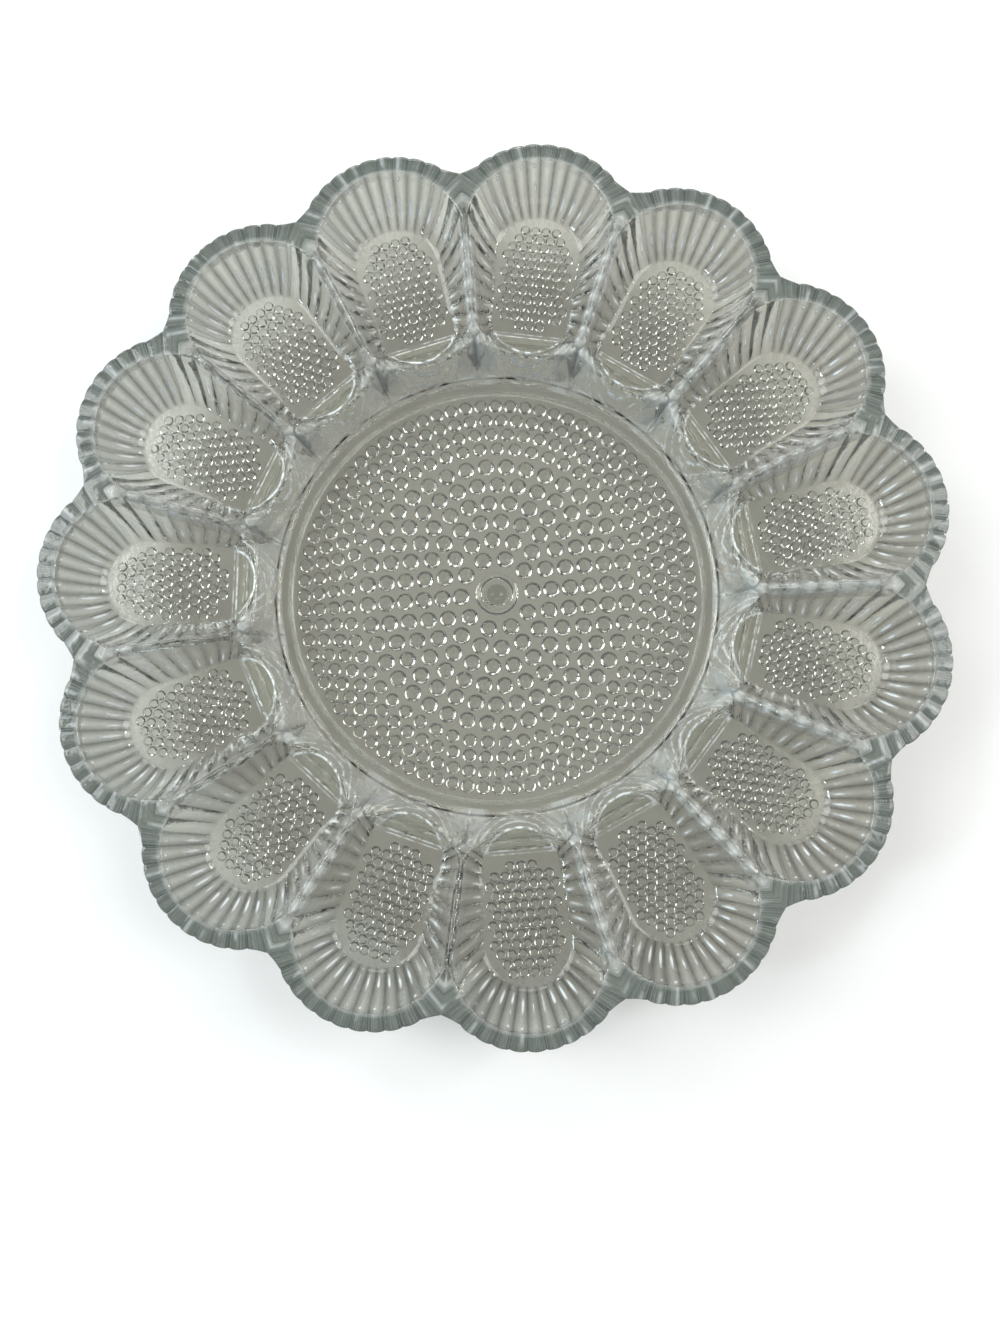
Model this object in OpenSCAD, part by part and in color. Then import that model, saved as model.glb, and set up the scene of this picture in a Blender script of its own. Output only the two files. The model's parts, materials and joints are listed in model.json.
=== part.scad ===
// Pressed-glass egg platter: a hobnailed round dish with fifteen fluted egg wells round it.
// Origin on the table under the centre, +Z up, the first well towards -Y, millimetres.

/* [Plate] */
// Diameter over the tops of opposite scallops
plate_d = 280; // [268:1:296]
// Height from the table to the top of the rim
plate_h = 32; // [30:0.5:38]
// Radius of each scallop of the outline
scallop_r = 30.6; // [29:0.1:32]
// Radius of the soft notch between two scallops
notch_r = 9; // [6:0.5:12]
// Height of the upright edge of the rim
rim_edge_h = 3.8; // [3:0.1:5]

/* [Centre dish] */
// Radius of the dish floor, out to the feet of the wells
dish_r = 72.6; // [68:0.1:76]
// Thickness of the glass in the dish floor
dish_floor_t = 3.4; // [2.8:0.1:4.5]
// Height of the foot ring
foot_h = 2.2; // [1.8:0.1:3]
// Width of the foot ring where it leaves the floor
foot_w = 4; // [3:0.1:5]
// Width of the flat that the foot ring stands on
foot_rest_w = 2; // [1.4:0.1:2.6]

/* [Egg wells] */
// Radius of the round outer end of a well's mouth
mouth_r = 23.4; // [22.6:0.1:24.4]
// How far the mouth's axis lies outside the scallop's axis
mouth_inset = 1.6; // [1:0.1:2]
// Depth from the rim to the floor of a well
well_depth = 16.5; // [14:0.5:18]
// Radius of the round outer end of a well's floor
well_floor_r = 13; // [12:0.1:14]
// Half width of the straight inner end of a well's floor
floor_end_w = 11; // [9:0.1:12]
// Thickness of the glass in a well's floor
well_floor_t = 4; // [3:0.1:5]
// Distance from the dish to the straight inner end of a well's floor
floor_end_run = 10.7; // [9:0.1:13]
// Distance from the dish to the crest of the wall before a well
crest_run = 3; // [2:0.1:4]
// How far that crest lies below the rim
crest_drop = 11; // [9:0.5:13]
// Distance from the dish to the inner ends of the ridges between wells
ridge_end_run = 8.4; // [7:0.1:10]
// Width of the ridge tops
ridge_w = 1.6; // [1:0.1:2.4]

/* [Flutes] */
// Flutes along each scallop, from notch to notch
rim_flutes = 11; // [9:2:13]
// Flutes along each ridge
side_flutes = 9; // [7:1:10]
// Depth of the flutes under the wells
flute_depth = 0.9; // [0.5:0.1:1.2]
// Depth of the flutes in the rim's edge
edge_flute_depth = 0.45; // [0.2:0.05:0.8]

/* [Hobnails] */
// Diameter of a hobnail in the inner rings under the dish
dish_hob_d = 5.3; // [4:0.1:5.7]
// Height of a hobnail in the inner rings
dish_hob_h = 1.8; // [1:0.1:2]
// Inner rings of hobnails
inner_rings = 6; // [4:1:6]
// Radius of the first inner ring
hob_ring_r = 11.9; // [11:0.1:12.5]
// Step from one inner ring to the next
hob_ring_step = 6.2; // [5.8:0.1:6.6]
// Hobnails in the first inner ring
hob_ring_count = 10; // [6:1:12]
// Hobnails that each inner ring has more than the one inside it
hob_ring_more = 6; // [4:1:6]
// Diameter of a hobnail in the outer rings under the dish
outer_hob_d = 4.4; // [3.6:0.1:4.6]
// Height of a hobnail in the outer rings
outer_hob_h = 1.5; // [1:0.1:1.7]
// Step from one outer ring to the next
outer_ring_step = 4.9; // [4.7:0.1:5.4]
// Hobnails in the first outer ring
outer_ring_count = 53; // [46:1:54]
// Hobnails that each outer ring has more than the one inside it
outer_ring_more = 9; // [6:1:9]
// Diameter of a hobnail under a well
well_hob_d = 3; // [2.4:0.1:3.3]
// Height of a hobnail under a well
well_hob_h = 1.1; // [0.5:0.1:1.2]
// Distance between the hobnails under a well
well_hob_step = 3.45; // [3.4:0.05:4.4]
// Distance from the straight inner end of a well's floor to the first row of hobnails
well_hob_run = 4; // [2:0.1:5]

/* [Centre button] */
// Diameter of the lens
button_d = 9.2; // [8:0.1:9.8]
// Height of the lens
button_h = 1.4; // [1:0.1:1.7]
// Outer diameter of the ring round the lens
button_ring_d = 14.4; // [13:0.1:14.8]
// Width of that ring
button_ring_w = 1.6; // [1:0.1:1.8]
// Height of that ring
button_ring_h = 0.9; // [0.5:0.1:1.4]

/* [Hidden] */
$fn = 72;
well_count = 15;
glass = [0.72, 0.77, 0.73];
hob_glass = [0.8, 0.84, 0.82];

// Levels
floor_z = foot_h + dish_floor_t;
well_floor_z = plate_h - well_depth;
well_under_z = well_floor_z - well_floor_t;
crest_z = plate_h - crest_drop;

// One sector: x across the well, y out from the plate's axis. The sector's sides are at sector_a.
full_turn = 360;
sector_a = full_turn / well_count / 2;
scallop_y = plate_d / 2 - scallop_r;
mouth_y = scallop_y + mouth_inset;
floor_end_y = dish_r + floor_end_run;
ridge_end_r = dish_r + ridge_end_run;

// The notch is an arc that touches both scallops
notch_reach = sqrt(pow(scallop_r + notch_r, 2) - pow(scallop_y * sin(sector_a), 2));
notch_axis_r = scallop_y * cos(sector_a) + notch_reach;
notch_end_r = notch_axis_r - notch_r;
// Where the mouths of two neighbours meet on the sector's side
mouths_meet_r = mouth_y * cos(sector_a) + sqrt(pow(mouth_r, 2) - pow(mouth_y * sin(sector_a), 2));

// Steps between two rays of the dish side, and shares that shape the walls
end_steps = 4;
bowl_out_share = 0.55;
bowl_up_share = 0.38;
knee_out_share = 0.5;
knee_up_share = 0.34;
end_knee_up_share = 0.8;
cusp_share = 0.5;
cusp_floor_share = 0.97;
last_flute_share = 0.93;
crest_side_share = 0.75;
flute_spread_power = 1.2;
under_floor_out = 1.2;

function polar(r, a) = [r * sin(a), r * cos(a)];
function unit(v) = v / norm(v);
function mix(a, b, share) = a + (b - a) * share;
function odd(k) = k % 2 == 1;

// Distance from p along the unit vector d to the near or far crossing of a circle
function into_circle(p, d, c, r) = let (b = d * (c - p)) b - sqrt(pow(b, 2) - pow(norm(c - p), 2) + pow(r, 2));
function out_of_circle(p, d, c, r) = let (b = d * (c - p)) b + sqrt(pow(b, 2) - pow(norm(c - p), 2) + pow(r, 2));

scallop_c = [0, scallop_y];
mouth_c = [0, mouth_y];
notch_axis = polar(notch_axis_r, sector_a);
notch_end = polar(notch_end_r, sector_a);
touch_a = atan2(notch_axis.x, notch_axis.y - scallop_y);
notch_a = atan2(notch_end.x, notch_end.y - scallop_y);
notch_floor_a = atan2(notch_end.x, notch_end.y - mouth_y);

// The outline, as a distance from the scallop's axis
function outline_reach(a) =
    a <= touch_a ? scallop_r : into_circle(scallop_c, polar(1, a), notch_axis, notch_r);

// The floor's edge from the notch's flute round to its inner corner, s from 0 to 1
quarter_a = 90;
floor_arc_len = well_floor_r * (quarter_a - notch_floor_a) * PI / (2 * quarter_a);
floor_side_start = mouth_c + polar(well_floor_r, quarter_a);
floor_corner = [floor_end_w, floor_end_y];
floor_side_len = norm(floor_corner - floor_side_start);
floor_path_len = floor_arc_len + floor_side_len;
function floor_edge(s) =
    s * floor_path_len < floor_arc_len
    ? mouth_c + polar(well_floor_r, mix(notch_floor_a, quarter_a, s * floor_path_len / floor_arc_len))
    : mix(floor_side_start, floor_corner, (s * floor_path_len - floor_arc_len) / floor_side_len);

// Height of the ridge top at radius r
function ridge_z(r) = min(plate_h, mix(crest_z, plate_h, (r - ridge_end_r) / (mouths_meet_r - ridge_end_r)));

// A ray runs from the floor's edge to the sector's border. It holds the points of both faces of the
// glass on it: floor, bowl, crest and border above, then border, knee and floor below.
function ray(floor_p, border_p, crest_d, crest_top, border_top, border_under, knee_up, groove) =
    let (
        reach = norm(border_p - floor_p),
        way = unit(border_p - floor_p),
        raised = groove ? flute_depth : 0,
        bowl_d = crest_d * bowl_out_share,
        knee_d = reach * knee_out_share,
        at = function (d, z) concat(floor_p + way * d, [z])
    )
    [
        at(0, well_floor_z),
        at(bowl_d, mix(well_floor_z, crest_top, bowl_up_share)),
        at(crest_d, crest_top),
        at(reach, border_top),
        at(reach, border_under + raised),
        at(knee_d, mix(well_under_z, border_under, knee_up) + raised),
        at(under_floor_out, well_under_z)
    ];

function rim_ray(k) =
    let (
        share = k / rim_flutes,
        a = notch_a * share,
        cut = odd(k) ? edge_flute_depth : 0,
        floor_p = mouth_c + polar(well_floor_r, notch_floor_a * share),
        border_p = k == rim_flutes ? polar(notch_end_r - cut, sector_a) : scallop_c + polar(outline_reach(a) - cut, a),
        crest_d = out_of_circle(floor_p, unit(border_p - floor_p), mouth_c, mouth_r)
    )
    ray(floor_p, border_p, crest_d, plate_h, plate_h, plate_h - rim_edge_h, knee_up_share, odd(k));

function side_ray(k) =
    let (
        out_share = pow(1 - k / (2 * side_flutes), flute_spread_power),
        border_r = mix(ridge_end_r, notch_end_r, out_share),
        border_p = polar(border_r, sector_a),
        floor_p = floor_edge((1 - out_share) * last_flute_share),
        to_mouth = out_of_circle(floor_p, unit(border_p - floor_p), mouth_c, mouth_r),
        to_ridge = norm(border_p - floor_p) - ridge_w / 2,
        crest_d = border_r > mouths_meet_r ? min(to_mouth, to_ridge) : to_ridge,
        top = ridge_z(border_r)
    )
    ray(floor_p, border_p, crest_d, top, top, top - rim_edge_h, knee_up_share, !odd(k));

function cusp_ray() =
    let (
        border_p = polar(mix(dish_r, ridge_end_r, cusp_share), sector_a),
        floor_p = floor_edge(cusp_floor_share),
        top = mix(floor_z, crest_z, cusp_share),
        crest_d = norm(border_p - floor_p) - crest_run
    )
    ray(floor_p, border_p, crest_d, crest_z, top, top - rim_edge_h, end_knee_up_share, false);

// The rays that reach the dish, j from 0 at the sector's side to end_steps in its middle
function end_ray(j) =
    let (
        side = 1 - j / end_steps,
        border_p = polar(dish_r, sector_a * side),
        floor_p = [floor_end_w * side, floor_end_y],
        back = mix(crest_run, ridge_end_run * crest_side_share, pow(side, 2)),
        crest_d = norm(border_p - floor_p) - back
    )
    ray(floor_p, border_p, crest_d, crest_z, floor_z, foot_h, end_knee_up_share, false);

// Half of the sector's rays, from the middle of the scallop round to the middle of the dish side
half_rays = [
    for (k = [0 : rim_flutes]) rim_ray(k),
    for (k = [1 : 2 * side_flutes]) side_ray(k),
    cusp_ray(),
    for (j = [0 : end_steps]) end_ray(j)
];
last_ray = len(half_rays) - 1;
function mirrored(r) = [for (p = r) [-p.x, p.y, p.z]];
rays = concat(half_rays, [for (i = [last_ray - 1 : -1 : 1]) mirrored(half_rays[i])]);
ray_count = len(rays);
ring_count = len(rays[0]);

// The glass of one sector, closed between the rings of points that the rays make
module sector_glass() {
    points = [for (ring = [0 : ring_count - 1]) for (r = rays) r[ring]];
    floor_cap = [for (i = [0 : ray_count - 1]) i];
    under_cap = [for (i = [ray_count - 1 : -1 : 0]) (ring_count - 1) * ray_count + i];
    walls = [
        for (ring = [0 : ring_count - 2])
            for (i = [0 : ray_count - 1])
                let (
                    next = (i + 1) % ray_count,
                    a = ring * ray_count,
                    b = a + ray_count
                )
                each [[a + i, b + i, b + next], [a + i, b + next, a + next]]
    ];
    polyhedron(points = points, faces = concat([floor_cap], walls, [under_cap]));
}

// Puts a sector's own frame at the place of well i, counted from 1 at the front
module at_well(i) {
    rotate([0, 0, full_turn / 2 + full_turn / well_count * (i - 1)]) children();
}

module egg_well(i) {
    color(glass) at_well(i) sector_glass();
}

// A dome of diameter d and height h that hangs from the level z = 0
module hobnail(d, h) {
    dome_r = (pow(d / 2, 2) + pow(h, 2)) / (2 * h);
    intersection() {
        translate([0, 0, dome_r - h]) sphere(r = dome_r);
        translate([-dome_r, -dome_r, -dome_r]) cube([2 * dome_r, 2 * dome_r, dome_r]);
    }
}

// Half the room for hobnails across a well's floor at y
function hob_room(y) =
    y > mouth_y
    ? sqrt(max(0, pow(well_floor_r - well_hob_d / 2, 2) - pow(y - mouth_y, 2)))
    : mix(floor_end_w, well_floor_r, (y - floor_end_y) / (mouth_y - floor_end_y)) - well_hob_d / 2;

module well_hobnails(i) {
    row_step = well_hob_step * sin(full_turn / 6);
    first_y = floor_end_y + well_hob_run;
    rows = floor((mouth_y + well_floor_r - well_hob_d / 2 - first_y) / row_step);
    color(hob_glass) at_well(i) translate([0, 0, well_under_z])
        for (row = [0 : rows]) {
            y = first_y + row * row_step;
            shift = odd(row) ? well_hob_step / 2 : 0;
            most = ceil(well_floor_r / well_hob_step);
            for (col = [-most : most]) {
                x = col * well_hob_step + shift;
                if (abs(x) <= hob_room(y)) translate([x, y, 0]) hobnail(well_hob_d, well_hob_h);
            }
        }
}

module centre_dish() {
    sides = well_count * 2 * end_steps;
    color(glass) translate([0, 0, foot_h]) linear_extrude(dish_floor_t)
        polygon([for (i = [0 : sides - 1]) polar(dish_r, full_turn / sides * i)]);
}

// The outer side of the foot ring stays inside the flats of the dish floor's edge
foot_out_r = dish_r * cos(sector_a / end_steps / 2);
module foot_ring() {
    slope = (foot_w - foot_rest_w) / 2;
    color(glass) rotate_extrude()
        polygon([
            [foot_out_r - foot_w, foot_h],
            [foot_out_r - foot_w + slope, 0],
            [foot_out_r - slope, 0],
            [foot_out_r, foot_h]
        ]);
}

module centre_button() {
    ring_mid_r = (button_ring_d - button_ring_w) / 2;
    color(hob_glass) translate([0, 0, foot_h]) {
        hobnail(button_d, button_h);
        rotate_extrude()
            polygon([
                [ring_mid_r - button_ring_w / 2, 0],
                [ring_mid_r - button_ring_w / 4, -button_ring_h],
                [ring_mid_r + button_ring_w / 4, -button_ring_h],
                [ring_mid_r + button_ring_w / 2, 0]
            ]);
    }
}

// One ring of hobnails of diameter d and height h round the dish's axis
module hob_ring(r, count, d, h) {
    for (i = [0 : count - 1])
        rotate([0, 0, full_turn / count * i]) translate([r, 0, 0]) hobnail(d, h);
}

// Rings of large hobnails round the button, and closer rings of smaller ones out to the foot ring
module dish_hobnails() {
    outer_r = hob_ring_r + inner_rings * hob_ring_step;
    last_r = foot_out_r - foot_w - outer_hob_d / 2;
    outer_rings = floor((last_r - outer_r) / outer_ring_step);
    color(hob_glass) translate([0, 0, foot_h]) {
        for (ring = [0 : inner_rings - 1])
            hob_ring(hob_ring_r + ring * hob_ring_step, hob_ring_count + ring * hob_ring_more, dish_hob_d, dish_hob_h);
        for (ring = [0 : outer_rings])
            hob_ring(outer_r + ring * outer_ring_step, outer_ring_count + ring * outer_ring_more, outer_hob_d, outer_hob_h);
    }
}

centre_dish();
foot_ring();
centre_button();
dish_hobnails();
egg_well(1);  // egg_well_01
egg_well(2);  // egg_well_02
egg_well(3);  // egg_well_03
egg_well(4);  // egg_well_04
egg_well(5);  // egg_well_05
egg_well(6);  // egg_well_06
egg_well(7);  // egg_well_07
egg_well(8);  // egg_well_08
egg_well(9);  // egg_well_09
egg_well(10);  // egg_well_10
egg_well(11);  // egg_well_11
egg_well(12);  // egg_well_12
egg_well(13);  // egg_well_13
egg_well(14);  // egg_well_14
egg_well(15);  // egg_well_15
well_hobnails(1);  // well_hobnails_01
well_hobnails(2);  // well_hobnails_02
well_hobnails(3);  // well_hobnails_03
well_hobnails(4);  // well_hobnails_04
well_hobnails(5);  // well_hobnails_05
well_hobnails(6);  // well_hobnails_06
well_hobnails(7);  // well_hobnails_07
well_hobnails(8);  // well_hobnails_08
well_hobnails(9);  // well_hobnails_09
well_hobnails(10);  // well_hobnails_10
well_hobnails(11);  // well_hobnails_11
well_hobnails(12);  // well_hobnails_12
well_hobnails(13);  // well_hobnails_13
well_hobnails(14);  // well_hobnails_14
well_hobnails(15);  // well_hobnails_15
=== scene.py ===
"""Pressed-glass egg platter, dressed for its photograph.

The plate is one pressing of clear, faintly green glass: a round dish with hobnails under its floor, and
fifteen fluted egg wells round it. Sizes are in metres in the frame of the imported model: +Z up, the first
well towards -Y.
"""

import json
import logging
import math
from dataclasses import dataclass
from enum import Enum
from functools import reduce
from operator import add
from typing import Iterable, Sequence

import bmesh
import bpy
import numpy as np
from mathutils import Matrix, Vector

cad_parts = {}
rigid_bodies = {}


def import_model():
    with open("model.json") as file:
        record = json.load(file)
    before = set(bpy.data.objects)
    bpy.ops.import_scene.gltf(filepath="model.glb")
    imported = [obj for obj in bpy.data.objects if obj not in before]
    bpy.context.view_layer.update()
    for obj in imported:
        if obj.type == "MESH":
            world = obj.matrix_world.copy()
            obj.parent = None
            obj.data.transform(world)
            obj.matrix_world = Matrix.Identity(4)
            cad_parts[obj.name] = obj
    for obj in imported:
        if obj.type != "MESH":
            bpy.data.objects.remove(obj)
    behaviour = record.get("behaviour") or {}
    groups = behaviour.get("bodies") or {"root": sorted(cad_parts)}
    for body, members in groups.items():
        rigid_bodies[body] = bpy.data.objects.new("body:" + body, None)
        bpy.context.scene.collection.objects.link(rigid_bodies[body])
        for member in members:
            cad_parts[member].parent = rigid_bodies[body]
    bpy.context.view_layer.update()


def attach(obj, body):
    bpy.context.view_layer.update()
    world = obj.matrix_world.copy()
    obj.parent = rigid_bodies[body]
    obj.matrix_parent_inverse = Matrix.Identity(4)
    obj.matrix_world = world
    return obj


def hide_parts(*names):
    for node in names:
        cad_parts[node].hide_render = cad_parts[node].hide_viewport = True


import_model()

MM = 0.001
FAR = 1000.0  # a distance, in mm, where no line is drawn in the glass
WELD = 4e-6  # points nearer than this, in metres, become one
IN_HOB = 0.001  # the attribute hob_in is above this on a hobnail
QUARTER = math.pi / 2
UP = np.array([0.0, 0.0, 1.0])
LOG = logging.getLogger("platter")
Array = np.ndarray
Triple = tuple[float, float, float]
Face = tuple[int, ...]
Layers = dict[str, list[float]]


# ---------------------------------------------------------------- sizes


@dataclass(frozen=True)
class PlateSizes:
    """Sizes that the whole pressing shares, in metres."""

    wells: int = 15
    plate_r: float = 140 * MM
    height: float = 32 * MM
    scallop_r: float = 30.6 * MM
    notch_r: float = 9 * MM
    rim_edge_h: float = 3.8 * MM
    dish_r: float = 72.6 * MM
    dish_floor_z: float = 5.6 * MM
    dish_under_z: float = 2.2 * MM
    seam_r: float = 70.6 * MM

    @property
    def sector(self) -> float:
        """Half of the angle that one well takes."""
        return math.pi / self.wells


@dataclass(frozen=True)
class WellSizes:
    """Sizes of one egg well, in metres, in its own plan: x across, y out from the plate's axis."""

    mouth_r: float = 23.4 * MM
    mouth_inset: float = 1.6 * MM
    floor_z: float = 15.5 * MM
    under_z: float = 11.5 * MM
    floor_r: float = 13 * MM
    floor_end_w: float = 11 * MM
    floor_end_y: float = 83.3 * MM
    crest_z: float = 21 * MM
    ridge_end_r: float = 81 * MM
    ridge_half_w: float = 0.8 * MM
    end_centre_y: float = 100.2 * MM
    end_r: float = 23.6 * MM
    under_floor_out: float = 1.2 * MM
    valley_foot_r: float = 75.8 * MM
    oval_y: float = 104 * MM
    edge_round: float = 0.5 * MM
    ridge_round: float = 1.5 * MM
    facet_round: float = 0.35 * MM
    bead_h: float = 0.3 * MM
    bead_w: float = 0.9 * MM
    moon_y: float = 86.9 * MM
    moon_r: float = 11.2 * MM
    moon_drop: float = 0.4 * MM
    wall_power: float = 1.7
    end_power: float = 2.6
    inner_from: float = 0.62
    wall_runs: tuple[float, float] = (3.0 * MM, 6.3 * MM)
    wall_foot: float = 0.2 * MM
    shoulder_gap: float = 0.3 * MM
    edge_drop: float = 0.95 * MM

    def moon_edge(self, x: float, y: float) -> float:
        """Distance from a point of the plan out to the arc of the half-moon facet, negative inside it."""
        return math.hypot(x, y - self.moon_y) - self.moon_r


@dataclass(frozen=True)
class FluteSizes:
    """The flutes under a well and in the rim's edge."""

    rim_count: int = 11
    side_count: int = 9
    depth: float = 0.9 * MM
    edge_depth: float = 0.45 * MM
    spread: float = 1.2
    last_share: float = 0.93
    top_share: float = 0.18
    fullness: float = 0.6
    fade_run: float = 2 * MM


@dataclass(frozen=True)
class HobSizes:
    """One kind of hobnail: its diameter, height and the sides and rings of faces of its dome."""

    diameter: float
    height: float
    sides: int
    rings: int


@dataclass(frozen=True)
class HobField:
    """The field of hobnails under a well: their step, where its rows begin, the gap at the floor's edge."""

    step: float = 3.45 * MM
    first: float = 4.7 * MM
    gap: float = 0.7 * MM
    oval_in: float = 2.3
    oval_out: float = 0.45
    half_row: int = 6


@dataclass(frozen=True)
class RingSizes:
    """A group of rings of hobnails: how many, the first one's radius and hobnails, and what each adds."""

    rings: int
    first_r: float
    step: float
    first_count: int
    more: int
    share: float

    def places(self) -> list[tuple[Array, float]]:
        """Works out the centres of the group's hobnails.

        Returns:
            The centres, each with its size as a share of the largest.
        """
        found = []
        for ring in range(self.rings):
            r, count = self.first_r + ring * self.step, self.first_count + ring * self.more
            found += [(r * np.array(way), self.share) for way in circle_ways(count)]
        return found


@dataclass(frozen=True)
class MeshSteps:
    """How finely the surfaces are sampled."""

    flute_step: float = 0.125
    cusp_rays: int = 6
    end_rays: int = 32
    bowl_points: int = 60
    wall_points: int = 40
    top_points: int = 26
    under_points: int = 15
    fine: float = 0.1 * MM
    top_bend: float = 2.2 * MM
    under_bend: float = 1.5 * MM
    lead: float = 3 * MM


class Kind(Enum):
    """Where a ray of the well's plan ends."""

    RIM = "rim"
    RIDGE = "ridge"
    CUSP = "cusp"
    DISH = "dish"


# ---------------------------------------------------------------- plan of one well


def polar(r: float, a: float) -> Array:
    """Point at radius r and angle a from +y, turning towards +x."""
    return np.array([r * math.sin(a), r * math.cos(a)])


def raised(p: Array, z: float) -> Array:
    """The point of the plan below or above p, at height z."""
    return np.array([p[0], p[1], z])


def mix(a: float | Array, b: float | Array, share: float) -> float | Array:
    """The value between a and b."""
    return a + (b - a) * share


def smooth(x: float) -> float:
    """Eases from 0 to 1 as x goes from 0 to 1."""
    x = min(1.0, max(0.0, x))
    return x * x * (3 - 2 * x)


def circle_ways(count: int) -> list[tuple[float, float]]:
    """Unit directions at even angles round a circle."""
    return [(math.cos(a), math.sin(a)) for a in np.arange(count) * (math.tau / count)]


def cross_circle(p: Array, d: Array, c: Array, r: float, far: bool = True) -> float:
    """Distance from p along the unit vector d to a circle.

    Args:
        p: start of the ray.
        d: its direction.
        c: the circle's centre.
        r: the circle's radius.
        far: the far crossing instead of the near one.

    Returns:
        The distance to the crossing.
    """
    b = float(d @ (c - p))
    root = math.sqrt(max(0.0, b * b - float((c - p) @ (c - p)) + r * r))
    return b + root if far else b - root


@dataclass
class Ray:
    """A line of the well's plan from the edge of its floor to the sector's border.

    Attributes:
        kind: where it ends.
        floor: its start, on the edge of the floor.
        border: its end.
        bowl_end: distance to the top of the bowl's wall.
        bowl_z: height there.
        shoulder: distance to where the top begins to fall towards the dish, or the whole length.
        border_top: height of the upper face at the border.
        border_under: height of the lower face there.
        bowl_power: how late the bowl's wall rises.
        end_share: 0 at the flutes, 1 at the dish side, for the form of the lower face.
        phase: flutes passed so far, in half flutes.
        fluted: how much of the flutes' depth it takes.
        rounding: radius of its rounded edges.
    """

    kind: Kind
    floor: Array
    border: Array
    bowl_end: float
    bowl_z: float
    shoulder: float
    border_top: float
    border_under: float
    bowl_power: float
    end_share: float
    phase: float
    fluted: float
    rounding: float

    @property
    def reach(self) -> float:
        """Length of the ray."""
        return float(np.linalg.norm(self.border - self.floor))

    @property
    def way(self) -> Array:
        """Direction of the ray."""
        return (self.border - self.floor) / self.reach

    @property
    def outward(self) -> Array:
        """Direction from the plate's axis to the ray's end."""
        return self.border / np.linalg.norm(self.border)

    @property
    def aside(self) -> float:
        """Angle of the ray's end from the middle of the sector."""
        return math.atan2(self.border[0], self.border[1])

    @property
    def on_border(self) -> bool:
        """Whether it ends on the rim or the dish, and not against the next well."""
        return self.kind in (Kind.RIM, Kind.DISH)

    def at(self, d: float, z: float) -> Array:
        """Point at height z and distance d along the ray."""
        return raised(self.floor + self.way * d, z)


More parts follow.
